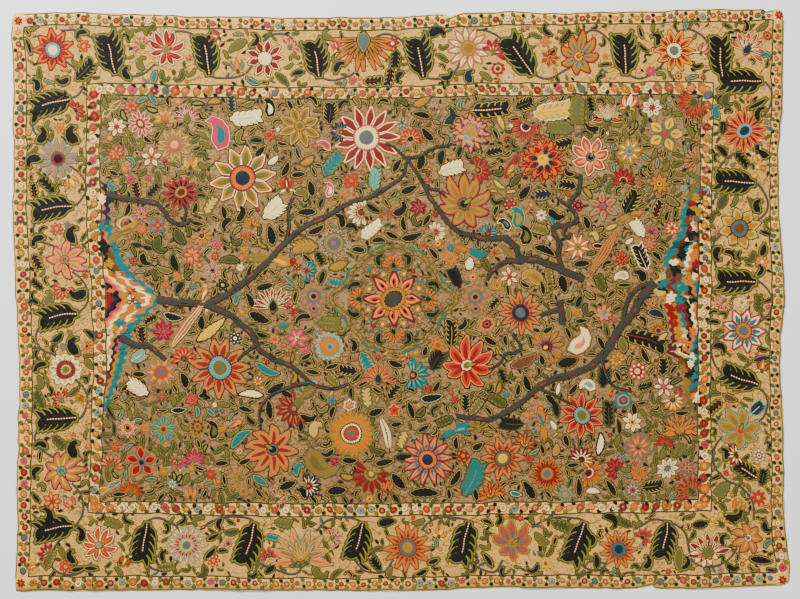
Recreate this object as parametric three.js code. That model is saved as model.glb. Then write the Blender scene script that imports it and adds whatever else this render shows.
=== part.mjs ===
// Palampore: an embroidered cotton bed cover, laid out flat and face up.
// Millimetres, +Z up. X runs along the length and Y across the width. The origin is the middle of
// the cover, on the surface that it lies on.

import * as THREE from "three";

// Size of the cover from hem to hem, and the thickness of the cloth with its stitching
const LENGTH = 2726;
const WIDTH = 2040;
const THICKNESS = 2;

// Rounding of the four corners
const CORNER = 14;

// Cells of the sheet between the two corner strips, along the length and across the width
const COLUMNS = 46;
const ROWS = 34;

// Ground cotton between the stitches
const GROUND_COLOUR = 0xb9a47c;
const GROUND_ROUGHNESS = 0.92;

// How far each worn edge draws in from the full size, at places along it from the middle
const TOP_EDGE = [
  { at: -1363, inset: 14 },
  { at: -1111, inset: 11 },
  { at: -1000, inset: 16 },
  { at: -702, inset: 25 },
  { at: -324, inset: 30 },
  { at: 0, inset: 27 },
  { at: 309, inset: 11 },
  { at: 442, inset: 8 },
  { at: 502, inset: 14 },
  { at: 698, inset: 12 },
  { at: 922, inset: 6 },
  { at: 1142, inset: 0 },
  { at: 1363, inset: 0 },
];
const BOTTOM_EDGE = [
  { at: -1363, inset: 1 },
  { at: -1224, inset: 5 },
  { at: -1000, inset: 4 },
  { at: -702, inset: 7 },
  { at: -300, inset: 4 },
  { at: 64, inset: 4 },
  { at: 264, inset: 12 },
  { at: 383, inset: 17 },
  { at: 488, inset: 13 },
  { at: 964, inset: 10 },
  { at: 1188, inset: 17 },
  { at: 1363, inset: 23 },
];
const LEFT_EDGE = [
  { at: -1020, inset: 13 },
  { at: -832, inset: 19 },
  { at: -745, inset: 21 },
  { at: -608, inset: 19 },
  { at: -521, inset: 24 },
  { at: -447, inset: 21 },
  { at: -356, inset: 28 },
  { at: -265, inset: 30 },
  { at: -178, inset: 24 },
  { at: -45, inset: 20 },
  { at: 81, inset: 12 },
  { at: 326, inset: 5 },
  { at: 526, inset: 8 },
  { at: 648, inset: 6 },
  { at: 739, inset: 8 },
  { at: 918, inset: 3 },
  { at: 1020, inset: 0 },
];
const RIGHT_EDGE = [
  { at: -1020, inset: 0 },
  { at: -923, inset: 2 },
  { at: -857, inset: 13 },
  { at: -745, inset: 22 },
  { at: -468, inset: 22 },
  { at: -356, inset: 29 },
  { at: -265, inset: 36 },
  { at: -157, inset: 31 },
  { at: 0, inset: 18 },
  { at: 169, inset: 27 },
  { at: 302, inset: 39 },
  { at: 536, inset: 40 },
  { at: 694, inset: 27 },
  { at: 785, inset: 24 },
  { at: 949, inset: 23 },
  { at: 1020, inset: 25 },
];

// Cockles, where an edge lifts off the surface: half their length along the edge, how far they
// reach into the cover, and their height at the edge
const COCKLES = [
  { edge: "top", at: -900, half: 150, reach: 170, lift: 6 },
  { edge: "top", at: -430, half: 120, reach: 150, lift: 4 },
  { edge: "top", at: 130, half: 170, reach: 190, lift: 7 },
  { edge: "top", at: 610, half: 130, reach: 140, lift: 5 },
  { edge: "top", at: 1060, half: 120, reach: 160, lift: 4 },
  { edge: "right", at: 640, half: 130, reach: 150, lift: 6 },
  { edge: "right", at: 170, half: 150, reach: 170, lift: 5 },
  { edge: "right", at: -240, half: 120, reach: 140, lift: 7 },
  { edge: "right", at: -720, half: 140, reach: 170, lift: 5 },
  { edge: "bottom", at: 1080, half: 140, reach: 160, lift: 5 },
  { edge: "bottom", at: 470, half: 150, reach: 170, lift: 6 },
  { edge: "bottom", at: -60, half: 120, reach: 140, lift: 4 },
  { edge: "bottom", at: -560, half: 160, reach: 180, lift: 6 },
  { edge: "bottom", at: -1080, half: 120, reach: 150, lift: 5 },
  { edge: "left", at: -690, half: 130, reach: 150, lift: 5 },
  { edge: "left", at: -250, half: 150, reach: 160, lift: 7 },
  { edge: "left", at: 250, half: 130, reach: 150, lift: 4 },
  { edge: "left", at: 700, half: 140, reach: 170, lift: 6 },
];

// Low swells in the body of the cover: place, half length, half width, turn from X in degrees
const SWELLS = [
  { x: -760, y: 330, half: 330, across: 120, turn: 25, lift: 3 },
  { x: -520, y: -420, half: 300, across: 110, turn: -18, lift: 3 },
  { x: 360, y: 470, half: 340, across: 120, turn: 8, lift: 3 },
  { x: 620, y: -330, half: 320, across: 130, turn: -32, lift: 4 },
  { x: 880, y: 260, half: 260, across: 110, turn: 70, lift: 3 },
  { x: 60, y: -620, half: 280, across: 100, turn: 12, lift: 2 },
];

// A smooth hump that is 1 at its middle and exactly 0 from 1 outwards
function hump(distance) {
  return distance < 1 ? (1 + Math.cos(Math.PI * distance)) / 2 : 0;
}

// The inset of an edge at a place along it, eased between the rows of its table
function insetAt(edge, at) {
  const last = edge.length - 1;
  const next = edge.findIndex((row) => row.at > at);
  if (next === 0) return edge[0].inset;
  if (next < 0) return edge[last].inset;
  const from = edge[next - 1];
  const to = edge[next];
  const t = THREE.MathUtils.smoothstep(at, from.at, to.at);
  return THREE.MathUtils.lerp(from.inset, to.inset, t);
}

// Even steps across a side of the given size, with one narrow step at each end for the corners
function gridLines(size, cells) {
  const inner = size / 2 - CORNER;
  const lines = [-size / 2];
  for (let i = 0; i <= cells; i += 1) {
    lines.push(THREE.MathUtils.lerp(-inner, inner, i / cells));
  }
  lines.push(size / 2);
  return lines;
}

// A point of the full rectangle, moved with the four edges: each edge's inset fades to nothing
// at the opposite edge
function drawnIn(x, y) {
  const right = x / LENGTH + 0.5;
  const up = y / WIDTH + 0.5;
  const fromLeft = insetAt(LEFT_EDGE, y) * (1 - right);
  const fromRight = insetAt(RIGHT_EDGE, y) * right;
  const fromBottom = insetAt(BOTTOM_EDGE, x) * (1 - up);
  const fromTop = insetAt(TOP_EDGE, x) * up;
  return new THREE.Vector2(x + fromLeft - fromRight, y + fromBottom - fromTop);
}

// Pulls the tip of a corner back onto its round
function roundedTip(point, x, y) {
  const back = CORNER * (1 - Math.SQRT1_2);
  point.x -= Math.sign(x) * back;
  point.y -= Math.sign(y) * back;
}

// Distance from each edge into the cover, and the place along that edge
function fromEdge(edge, x, y) {
  switch (edge) {
    case "top":
      return { depth: WIDTH / 2 - y, along: x };
    case "bottom":
      return { depth: WIDTH / 2 + y, along: x };
    case "left":
      return { depth: LENGTH / 2 + x, along: y };
    default:
      return { depth: LENGTH / 2 - x, along: y };
  }
}

// How high the underside lies above the surface: nothing but for the cockles and swells
function liftAt(x, y) {
  let lift = 0;
  for (const cockle of COCKLES) {
    const { depth, along } = fromEdge(cockle.edge, x, y);
    const across = hump(Math.abs(along - cockle.at) / cockle.half);
    lift += cockle.lift * across * hump(Math.max(depth, 0) / cockle.reach);
  }
  for (const swell of SWELLS) {
    const turn = THREE.MathUtils.degToRad(swell.turn);
    const dx = x - swell.x;
    const dy = y - swell.y;
    const along = (dx * Math.cos(turn) + dy * Math.sin(turn)) / swell.half;
    const across = (dy * Math.cos(turn) - dx * Math.sin(turn)) / swell.across;
    lift += swell.lift * hump(Math.hypot(along, across));
  }
  return lift;
}

// The closed sheet: an underside and a face on one grid, joined all round by the hem
function sheetGeometry() {
  const xs = gridLines(LENGTH, COLUMNS);
  const ys = gridLines(WIDTH, ROWS);
  const across = xs.length;
  const up = ys.length;
  const layer = across * up;
  const positions = [];
  for (const height of [0, THICKNESS]) {
    for (let j = 0; j < up; j += 1) {
      for (let i = 0; i < across; i += 1) {
        const point = drawnIn(xs[i], ys[j]);
        const isTip = (i === 0 || i === across - 1) && (j === 0 || j === up - 1);
        if (isTip) roundedTip(point, xs[i], ys[j]);
        positions.push(point.x, point.y, liftAt(point.x, point.y) + height);
      }
    }
  }

  const index = [];
  const under = (i, j) => j * across + i;
  const face = (i, j) => under(i, j) + layer;
  for (let j = 0; j < up - 1; j += 1) {
    for (let i = 0; i < across - 1; i += 1) {
      index.push(face(i, j), face(i + 1, j), face(i + 1, j + 1));
      index.push(face(i, j), face(i + 1, j + 1), face(i, j + 1));
      index.push(under(i, j), under(i + 1, j + 1), under(i + 1, j));
      index.push(under(i, j), under(i, j + 1), under(i + 1, j + 1));
    }
  }

  const rim = [];
  for (let i = 0; i < across - 1; i += 1) rim.push([i, 0]);
  for (let j = 0; j < up - 1; j += 1) rim.push([across - 1, j]);
  for (let i = across - 1; i > 0; i -= 1) rim.push([i, up - 1]);
  for (let j = up - 1; j > 0; j -= 1) rim.push([0, j]);
  rim.forEach((here, k) => {
    const next = rim[(k + 1) % rim.length];
    index.push(under(...here), under(...next), face(...next));
    index.push(under(...here), face(...next), face(...here));
  });

  const geometry = new THREE.BufferGeometry();
  geometry.setAttribute("position", new THREE.Float32BufferAttribute(positions, 3));
  geometry.setIndex(index);
  geometry.computeBoundingBox();
  const middle = geometry.boundingBox.getCenter(new THREE.Vector3());
  geometry.translate(-middle.x, -middle.y, 0);
  geometry.computeVertexNormals();
  return geometry;
}

const groundCotton = new THREE.MeshStandardMaterial({
  color: GROUND_COLOUR,
  roughness: GROUND_ROUGHNESS,
  metalness: 0,
});

const groundCloth = new THREE.Mesh(sheetGeometry(), groundCotton);
groundCloth.name = "ground_cloth";

const palampore = new THREE.Group();
palampore.name = "palampore";
palampore.add(groundCloth);

export default palampore;
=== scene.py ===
"""Palampore: an embroidered cotton bed cover, laid out flat and seen from above.

A plain woven cotton ground carries chain stitch in floss silk. Two trees grow in from the short
ends of the field, their branches meet round a medallion, and leaves, flowers and birds fill the
rest. A wide border holds a vine with a leaf and a flower by turns, between two narrow guards.
Everything is in metres: X along the length, Y across the width, Z up.
"""

import math
from collections import namedtuple

import bpy
import numpy as np
from bpy.props import FloatProperty, FloatVectorProperty, PointerProperty
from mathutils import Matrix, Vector
from mathutils.bvhtree import BVHTree


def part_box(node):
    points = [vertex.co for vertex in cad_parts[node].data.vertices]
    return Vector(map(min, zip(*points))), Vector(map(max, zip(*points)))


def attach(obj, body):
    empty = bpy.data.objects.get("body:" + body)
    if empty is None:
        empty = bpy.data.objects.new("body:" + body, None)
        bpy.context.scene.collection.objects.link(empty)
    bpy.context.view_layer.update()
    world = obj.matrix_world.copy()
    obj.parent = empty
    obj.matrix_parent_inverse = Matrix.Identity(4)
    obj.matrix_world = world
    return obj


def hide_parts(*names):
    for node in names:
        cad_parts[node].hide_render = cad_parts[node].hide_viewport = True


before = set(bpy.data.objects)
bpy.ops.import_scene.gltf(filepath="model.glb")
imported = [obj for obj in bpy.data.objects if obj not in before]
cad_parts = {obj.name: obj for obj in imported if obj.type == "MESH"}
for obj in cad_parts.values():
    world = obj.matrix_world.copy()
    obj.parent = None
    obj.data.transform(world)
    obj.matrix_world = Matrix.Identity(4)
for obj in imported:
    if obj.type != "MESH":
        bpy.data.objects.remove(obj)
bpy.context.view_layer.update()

bl_info = {
    "name": "Palampore",
    "version": (1, 0, 0),
    "blender": (4, 5, 0),
    "location": "3D View > Sidebar > Palampore",
    "description": "Makes an embroidered cotton palampore, its floor, lights and camera",
    "category": "Object",
}

SHEET_NODE = "ground_cloth"
BODY = "root"

# The cloth in the photograph: metres to a pixel, and the pixel at the cloth's middle
PX = 0.0035
MIDDLE_X = 400.6
MIDDLE_Y = 300.25
PHOTO_WIDTH = 800
PHOTO_HEIGHT = 599

# Stitching: height of one layer over the next, how far a row of thread rises at its middle, the
# outline round a petal or leaf, the lines between the zones, the narrowest row, a fine row, and
# the radius of a knot
LAYER = 0.00016
CROWN = 0.0005
RIM = 0.0016
BAND_LINE = 0.0042
THREAD_WIDTH = 0.0004
FINE_ROW = 0.0013
BEAD = 0.0035

# Chain stitch: the real rows are 1.2 mm apart and each loop is 2 mm long. They are drawn twice as
# coarse, so that they still show when the whole cover is in view.
ROW_PITCH = 0.0024
LOOP_LENGTH = 0.004
STITCH_RELIEF = 0.0004

# Plain weave: the real yarns are 0.7 mm apart, drawn three times as coarse for the same reason.
# Then how high they stand, and how far the cut edges fray.
YARN_PITCH = 0.0021
YARN_RELIEF = 0.0003
FRAY = 0.0011

# How far apart the waves of a wave texture are at scale 1, in metres
WAVE_SPACING = math.tau / 20

# Clearances: the cotton over the surface, and the stitching over the cotton
GROUND_GAP = 0.0002
EASE = 0.0008

# Maps: one along the rows of stitches, one flat over the whole cloth with a margin round it
ROWS_MAP = "rows"
FLAT_MAP = "OFBake"
MAP_MARGIN = 0.004

# Ribbons narrower than these need fewer points across
HAIR_BAND = 0.0021
NARROW_BAND = 0.015
HAIR_ACROSS = np.array([-1.0, 1.0])
NARROW_ACROSS = np.array([-1.0, 0.0, 1.0])
WIDE_ACROSS = np.array([-1.0, -0.6, 0.0, 0.6, 1.0])

# Small motifs: the size from which they are more than a floret, have a lobed leaf, a curled leaf,
# a rib and a stalk, in metres, and how far a stalk reaches, in pixels
BLOOM_FROM = 0.016
LOBED_FROM = 0.022
HOOK_FROM = 0.011
RIB_FROM = 0.009
STALK_FROM = 0.007
STALK_REACH = 26

# From this size in pixels a flower of the field is one of the large ones
LARGE_FLOWER = 13

# Guard bands: how far apart their flowers are. Mounds: width of a band, and the depth and length of
# its steps, in pixels.
GUARD_PITCH = 0.038
MOUND_BAND = 4.4
MOUND_JAG = 1.3
MOUND_WAVE = 8.0

# Parts of the photograph to fill in, as left, top, right and bottom in pixels: the border's four
# sides, the field, and its corners with greener sprays
SIDES = ("top", "right", "bottom", "left")
BORDER_BOXES = ((24, 20, 776, 92), (24, 505, 780, 580), (24, 80, 96, 512), (706, 80, 776, 512))
FIELD_BOX = (100, 95, 703, 503)
GREEN_BOXES = ((100, 396, 236, 503), (604, 396, 703, 503), (100, 95, 205, 180), (606, 95, 703, 190))

# Threads, by the dye that gives each colour, as sRGB
THREADS = {
    "madder": "#7c0606",
    "crimson": "#6d1016",
    "coral": "#a42b12",
    "rose": "#b02a42",
    "orange": "#c05a00",
    "saffron": "#a06a00",
    "yellow": "#d29f00",
    "straw": "#bd9634",
    "cream": "#ecd084",
    "peach": "#d87222",
    "olive": "#5c5321",
    "lime": "#656427",
    "moss": "#3d3d17",
    "black": "#0f0e08",
    "bark": "#333024",
    "teal": "#04615d",
    "aqua": "#538d77",
    "navy": "#121f2d",
    "slate": "#4f554e",
    "maroon": "#4b141b",
    "brown": "#5a3619",
    "tan": "#7d5e31",
    "mauve": "#6d554d",
    "bronze": "#7c5c18",
    "citron": "#7f7619",
}

# The middle of the medallion in the photograph
MEDALLION = (393.5, 299)

# Boughs: how far apart the rough stitches of their bark are, in metres, and how thin a twig is that
# has no streaks, and so no painted highlight, in pixels
BARK_PITCH = 0.011
TWIG = 2.4

# Cells of the ground over its outer guard, border, inner guard and field, and back: across, and up
GROUND_CELLS = ((2, 8, 2, 78, 2, 8, 2), (2, 8, 2, 54, 2, 8, 2))

# Stage: how far the floor reaches from the middle, and each light's name, place and size
FLOOR_REACH = 12.0
LIGHTS = (("key_light", (-3.2, 5.6, 5.0), 2.6), ("fill_light", (4.5, -4.0, 5.2), 3.4))

# Threads that do as the only outline of a flower
DARK = ("black", "maroon", "navy", "moss", "bark", "bronze", "crimson", "slate")

# Two dye lots of every thread: how far each has faded towards dust, and how often the second is used
LOT_FADE = (0.0, 0.09)
FADED_SHARE = 0.4
DUST = "#d8c090"


def linear(code):
    """An sRGB hex colour as linear red, green and blue."""
    parts = [int(code[i : i + 2], 16) / 255 for i in (1, 3, 5)]
    return tuple(p / 12.92 if p <= 0.04045 else ((p + 0.055) / 1.055) ** 2.4 for p in parts)


def blended(first, second, share):
    """A colour that share of the way from the first to the second."""
    return tuple(a + (b - a) * share for a, b in zip(first, second))


def at(x, y):
    """The place on the cloth, in metres, of a point of the photograph, in pixels."""
    x = (np.asarray(x, float) - MIDDLE_X) * PX
    y = (MIDDLE_Y - np.asarray(y, float)) * PX
    return np.stack(np.broadcast_arrays(x, y), -1)


def heading(angle):
    """Unit steps in the given directions, in radians."""
    return np.stack([np.cos(angle), np.sin(angle)], -1)


def pairs(words):
    """Points written as x,y."""
    return np.array([word.split(",") for word in words], float)


def sides_of(text):
    """A line round the cloth: each side's points, by the side's name."""
    lines = [line.split() for line in text.strip().splitlines()]
    return {words[0]: pairs(words[1:]) for words in lines}


# The three lines stitched round the cloth, each by its places along a side of the photograph:
# along,across in pixels
GUARD_LINE = sides_of("""
top 27,26.5 64,24.5 115,26 200,28.3 290,30.3 400,29.6 464,26.5 530,24.6 640,23.5 773,20.2
bottom 29,576.3 200,576 264,577.8 360,578.8 451,576 540,575.2 676,575.3 728,573.4 776,573
left 26,23.6 60,26.1 150,27 188,26.1 265,29 325,31.6 389,33 449,31.3 513,30.6 576,28.7
right 20,772.8 76,771.6 188,769.4 230,770 290,772 364,769 428,771 500,771.6 538,772 573,776
""")
BORDER_LINE = sides_of("""
top 86,83 200,85 290,87.8 400,87 451,84.4 530,83 664,82 712,81.6
bottom 88,512 128,513 264,516 328,516.6 464,514.7 600,513 711,511
left 83,86.5 150,87 188,85.2 265,90 338,93.8 376,93 449,90.6 512,88.6
right 82,712.5 130,713 200,711 300,711 370,710 449,711 511,711.5
""")
FIELD_LINE = sides_of("""
top 100,94.8 200,97.6 315,98.9 400,98.2 464,95.9 600,94.6 702,94.6
bottom 99.5,501 200,502.3 330,503.8 464,502.6 600,501.4 698,499.4
left 95,100.6 175,99.5 252,102 300,105.5 364,106.5 415,103.3 449,102 501,99.5
right 94,702 150,700.4 239,699 300,698 421,697.6 499,698.2
""")


def side_at(line, side, along):
    """Where a line crosses, for places along a side, both in pixels. Straight on past its ends."""
    places, across = line[side].T
    return np.interp(along, places, across)


def noise_field(rng, columns, rows, cell):
    """A smooth random field over a grid, about -1 to 1, with waves a few cells long."""
    coarse = rng.normal(size=(rows // cell + 3, columns // cell + 3))
    y = np.linspace(0, coarse.shape[0] - 1.001, rows)
    x = np.linspace(0, coarse.shape[1] - 1.001, columns)
    return bilinear(coarse, x[None, :] + 0 * y[:, None], y[:, None] + 0 * x[None, :])


def bilinear(grid, x, y):
    """Values of a grid between its points, eased so that no crease shows at them."""
    column = np.clip(np.floor(x).astype(int), 0, grid.shape[1] - 2)
    row = np.clip(np.floor(y).astype(int), 0, grid.shape[0] - 2)
    right = np.clip(x - column, 0, 1)
    up = np.clip(y - row, 0, 1)
    right = right * right * (3 - 2 * right)
    up = up * up * (3 - 2 * up)
    low = grid[row, column] * (1 - right) + grid[row, column + 1] * right
    high = grid[row + 1, column] * (1 - right) + grid[row + 1, column + 1] * right
    return low * (1 - up) + high * up


class Lie:
    """How the cloth lies: its rim and its height, both read from the solid sheet."""

    CELL = 0.03
    MARGIN = 0.06
    RIM_STEP = 0.012
    PUCKER_SEED = 11

    def __init__(self, node, pucker):
        mesh = node.data
        low, high = (np.array(corner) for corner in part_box(SHEET_NODE))
        self.low, self.high = low, high
        points = np.empty(len(mesh.vertices) * 3, np.float32)
        mesh.vertices.foreach_get("co", points)
        points = points.reshape(-1, 3).astype(float)
        places = (("left", 0, -1), ("right", 0, 1), ("bottom", 1, -1), ("top", 1, 1))
        self.rims = {side: self.rim(points, axis, sign) for side, axis, sign in places}
        self.columns = int((high[0] - low[0]) / self.CELL) + 2
        self.rows = int((high[1] - low[1]) / self.CELL) + 2
        tree = BVHTree.FromPolygons(points.tolist(), [list(p.vertices) for p in mesh.polygons])
        xs, ys = (np.clip(low[k] + self.CELL * np.arange(count), low[k] + self.MARGIN,
                          high[k] - self.MARGIN) for k, count in enumerate((self.columns, self.rows)))
        under = np.zeros((self.rows, self.columns))
        for j, y in enumerate(ys):
            for i, x in enumerate(xs):
                hit = tree.ray_cast(Vector((x, y, -1)), Vector((0, 0, 1)))[0]
                under[j, i] = hit.z if hit is not None else 0
        for _ in range(2):
            padded = np.pad(under, 1, mode="edge")
            under = (padded[:-2, 1:-1] + padded[2:, 1:-1] + padded[1:-1, :-2]
                     + padded[1:-1, 2:] + 2 * under) / 6
        rng = np.random.default_rng(self.PUCKER_SEED)
        waves = noise_field(rng, self.columns, self.rows, 3)
        self.under = under + pucker * np.clip(waves + 0.6, 0, 2)

    def rim(self, points, axis, sign):
        """The outermost points along one side, as (along, across) in order."""
        along = points[:, 1 - axis]
        out = points[:, axis] * sign
        near = out > out.max() - self.MARGIN
        key = np.round(along[near] / self.RIM_STEP).astype(int)
        rows = [(along[near][key == k].mean(), out[near][key == k].max() * sign)
                for k in np.unique(key)]
        return np.array(rows)

    def edge(self, side, along):
        rim = self.rims[side]
        return np.interp(along, rim[:, 0], rim[:, 1])

    def height(self, xy):
        """The cloth's underside over the surface, in metres."""
        x = (xy[..., 0] - self.low[0]) / self.CELL
        y = (xy[..., 1] - self.low[1]) / self.CELL
        return bilinear(self.under, x, y)


# The drawn lines waver a little, as a hand-drawn design does: wave lengths and sway, metres
SWAY = ((0.083, 0.0011), (0.147, 0.0014), (0.31, 0.0016))


def swayed(xy):
    """The points, moved a little by slow waves, so that nothing is quite straight or round."""
    x, y = xy[..., 0], xy[..., 1]
    dx = sum(a * np.sin(math.tau * (y / w) + 1.7 * x / w) for w, a in SWAY)
    dy = sum(a * np.sin(math.tau * (x / w) - 2.3 * y / w + 1) for w, a in SWAY)
    return np.stack([x + dx, y + dy], -1)


def make_mesh(name, points, corners, sizes, slots):
    """A mesh of points and faces: the faces' corners in one row, how many each has, and its material."""
    mesh = bpy.data.meshes.new(name)
    mesh.vertices.add(len(points))
    mesh.vertices.foreach_set("co", points.ravel())
    mesh.loops.add(len(corners))
    mesh.loops.foreach_set("vertex_index", corners)
    mesh.polygons.add(len(sizes))
    mesh.polygons.foreach_set("loop_start", np.cumsum(sizes) - sizes)
    mesh.polygons.foreach_set("material_index", slots)
    mesh.polygons.foreach_set("use_smooth", np.ones(len(sizes), bool))
    return mesh


def place_mesh(mesh):
    """An object of the same name for a finished mesh, in the scene."""
    mesh.update()
    piece = bpy.data.objects.new(mesh.name, mesh)
    bpy.context.scene.collection.objects.link(piece)
    return piece


def grid_quads(rows, columns):
    """The four corner numbers of each cell in a grid of that many points."""
    i, j = np.meshgrid(np.arange(rows - 1), np.arange(columns - 1), indexing="ij")
    first = (i * columns + j).ravel()
    return np.stack([first, first + columns, first + columns + 1, first + 1], 1)


class Stitching:
    """Collects the stitched shapes of one piece, thread by thread, and makes one mesh of them."""

    def __init__(self, name, seed):
        self.name = name
        self.random = np.random.default_rng(seed)
        self.lot = 0
        self.points = []
        self.rows = []
        self.faces = []
        self.slots = []
        self.used = {}
        self.count = 0

    def change_lot(self):
        """The next shape is worked from a skein of either dye lot."""
        self.lot = int(self.random.random() < FADED_SHARE)

    def add(self, xy, rise, faces, rows, thread, layer):
        """Copies of one form: xy (copies, points, 2), and faces as point numbers in one copy."""
        copies, size = xy.shape[:2]
        points = np.empty((copies, size, 3))
        points[..., :2] = xy
        points[..., 2] = rise + layer * LAYER
        start = self.count + size * np.arange(copies)
        self.points.append(points.reshape(-1, 3))
        self.rows.append(np.broadcast_to(rows, (copies, size, 2)).reshape(-1, 2))
        slot = self.used.setdefault((thread, self.lot), len(self.used))
        for form in faces:
            numbers = start[:, None, None] + form[None]
            self.faces.append(numbers.reshape(-1, form.shape[1]))
            self.slots.append(np.full(copies * len(form), slot))
        self.count += copies * size

    def lay(self, spine, width, thread, layer=1, flat=False):
        """Rows of stitches along a spine of points, or along several, as wide as given there.
        Flat ones have no crown, for what shows only as an outline."""
        spine = np.asarray(spine, float)
        if spine.ndim == 2:
            spine = spine[None]
        copies, steps = spine.shape[:2]
        width = np.maximum(np.broadcast_to(width, (copies, steps)), THREAD_WIDTH)
        along = np.gradient(spine, axis=1)
        along /= np.maximum(np.linalg.norm(along, axis=2, keepdims=True), 1e-9)
        side = np.stack([-along[..., 1], along[..., 0]], 2)
        widest = width.max()
        across = HAIR_ACROSS if flat or widest < HAIR_BAND else WIDE_ACROSS
        if not flat and HAIR_BAND <= widest < NARROW_BAND:
            across = NARROW_ACROSS
        half = width[..., None] / 2 * across
        xy = spine[:, :, None] + side[:, :, None] * half[..., None]
        rise = np.minimum(width / 3, CROWN)[..., None] * (1 - across**2)
        run = np.cumsum(np.linalg.norm(np.diff(spine, axis=1), axis=2), 1)
        run = np.concatenate([np.zeros((copies, 1)), run], 1)
        rows = np.stack([np.broadcast_to(run[..., None], half.shape), half], -1)
        self.add(xy.reshape(copies, -1, 2), rise.reshape(copies, -1), [grid_quads(steps, len(across))],
                 rows.reshape(copies, -1, 2), thread, layer)

    def disc(self, middles, radius, thread, layer=1, lobes=0, depth=0.0, turn=0.0, sides=0,
             flat=False):
        """Round or lobed patches, worked round and round from the rim to the middle."""
        middles = np.atleast_2d(middles)
        if not sides:
            round_sides = 6 if radius < BEAD else 9 if radius < 3 * BEAD else 20
            sides = max(lobes * (4 if radius < 6 * BEAD else 6), round_sides)
        angle = turn + np.arange(sides) * math.tau / sides
        scallop = 1 - np.abs(np.cos(lobes * (angle - turn) / 2)) if lobes else np.zeros(sides)
        rim = heading(angle) * (radius * (1 - depth * scallop))[:, None]
        shares = (1.0,) if flat or radius < 2 * BEAD else (1.0, 0.7)
        form = np.concatenate([rim * share for share in shares] + [np.zeros((1, 2))])
        part = np.append(np.repeat(shares, sides), 0)
        rise = min(radius / 3, CROWN) * (1 - part**2)
        rows = np.stack([np.append(np.tile(angle, len(shares)), 0) * radius,
                         np.linalg.norm(form, axis=1)], 1)
        here = np.arange(sides)
        after = (here + 1) % sides
        inner = sides * (len(shares) - 1)
        fan = np.stack([inner + here, inner + after, np.full(sides, inner + sides)], 1)
        faces = [fan]
        if inner:
            faces.append(np.stack([here, after, sides + after, sides + here], 1))
        self.add(middles[:, None] + form[None], rise, faces, rows, thread, layer)

    def make(self, lie, cloth_face):
        """The piece: one mesh on the cloth's face, with a material for each skein used."""
        points = np.concatenate(self.points)
        points[:, :2] = swayed(points[:, :2])
        points[:, 2] += lie.height(points[:, :2]) + cloth_face
        corners = np.concatenate([faces.ravel() for faces in self.faces])
        sizes = np.concatenate([np.full(len(faces), faces.shape[1]) for faces in self.faces])
        mesh = make_mesh(self.name, points, corners, sizes, np.concatenate(self.slots))
        rows = mesh.uv_layers.new(name=ROWS_MAP)
        rows.data.foreach_set("uv", np.concatenate(self.rows)[corners].ravel())
        laid = mesh.uv_layers.new(name=FLAT_MAP)
        laid.data.foreach_set("uv", on_map(points[corners, :2], lie).ravel())
        for thread, lot in self.used:
            mesh.materials.append(floss_silk(thread, lot))
        piece = place_mesh(mesh)
        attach(piece, BODY)
        return piece


def on_map(xy, lie):
    """Places on the cloth as a share of its box, a little inside it: one flat map for all."""
    low, high = lie.low[:2], lie.high[:2]
    share = (xy - low) / (high - low)
    return MAP_MARGIN + (1 - 2 * MAP_MARGIN) * share


def profile(t, peak, sharp):
    """Width along a petal, from 0 to 1 and back: widest at peak, and the sharper the finer."""
    return np.sin(math.pi * t ** (math.log(0.5) / math.log(peak))) ** sharp


def spines(base, angle, length, curl, t):
    """Lines that start at each base in its direction and turn by curl towards their tips."""
    base = np.atleast_2d(base)
    angle, length, curl = (np.broadcast_to(v, len(base)) for v in (angle, length, curl))
    middle = (t[1:] + t[:-1]) / 2
    way = heading(angle[:, None] + curl[:, None] * middle**2)
    step = length[:, None, None] * np.diff(t)[None, :, None] * way
    return np.concatenate([base[:, None], base[:, None] + np.cumsum(step, 1)], 1)


def smooth(points, steps=6):
    """An even curve through a few points."""
    points = np.asarray(points, float)
    padded = np.concatenate([2 * points[:1] - points[1:2], points, 2 * points[-1:] - points[-2:-1]])
    t = np.arange(steps)[:, None] / steps
    parts = []
    for a, b, c, d in zip(padded, padded[1:], padded[2:], padded[3:]):
        parts.append(0.5 * (2 * b + (c - a) * t + (2 * a - 5 * b + 4 * c - d) * t**2
                            + (3 * b - a - 3 * c + d) * t**3))
    return np.concatenate([*parts, points[-1:]])


def grown(spine, by):
    """Spines made longer by that much at each end."""
    first = spine[:, 0] - spine[:, 1]
    last = spine[:, -1] - spine[:, -2]
    first /= np.maximum(np.linalg.norm(first, axis=1, keepdims=True), 1e-9)
    last /= np.maximum(np.linalg.norm(last, axis=1, keepdims=True), 1e-9)
    longer = spine.copy()
    longer[:, 0] += first * by
    longer[:, -1] += last * by
    return longer


def names(threads):
    """The threads of an outline, from the inside out: "peach+maroon" is two rows."""
    return threads.split("+") if threads else []


def outer(threads):
    """The outermost thread of an outline."""
    return names(threads)[-1]


def rim_for(reach):
    """Width of one row of outline, for a flower of that size."""
    return min(max(reach * 0.042, 0.001), 0.0036)


def outlined(S, spine, width, fill, edge, rims, layer):
    """Rows of outline from the outside in, then the filling over them. Returns its layer."""
    edges = names(edge)
    for k, thread in enumerate(reversed(edges)):
        wider = sum(rims[: len(edges) - k])
        S.lay(grown(spine, wider), width + 2 * wider, thread, layer + k, flat=True)
    S.lay(spine, width, fill, layer + len(edges))
    return layer + len(edges)


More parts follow.
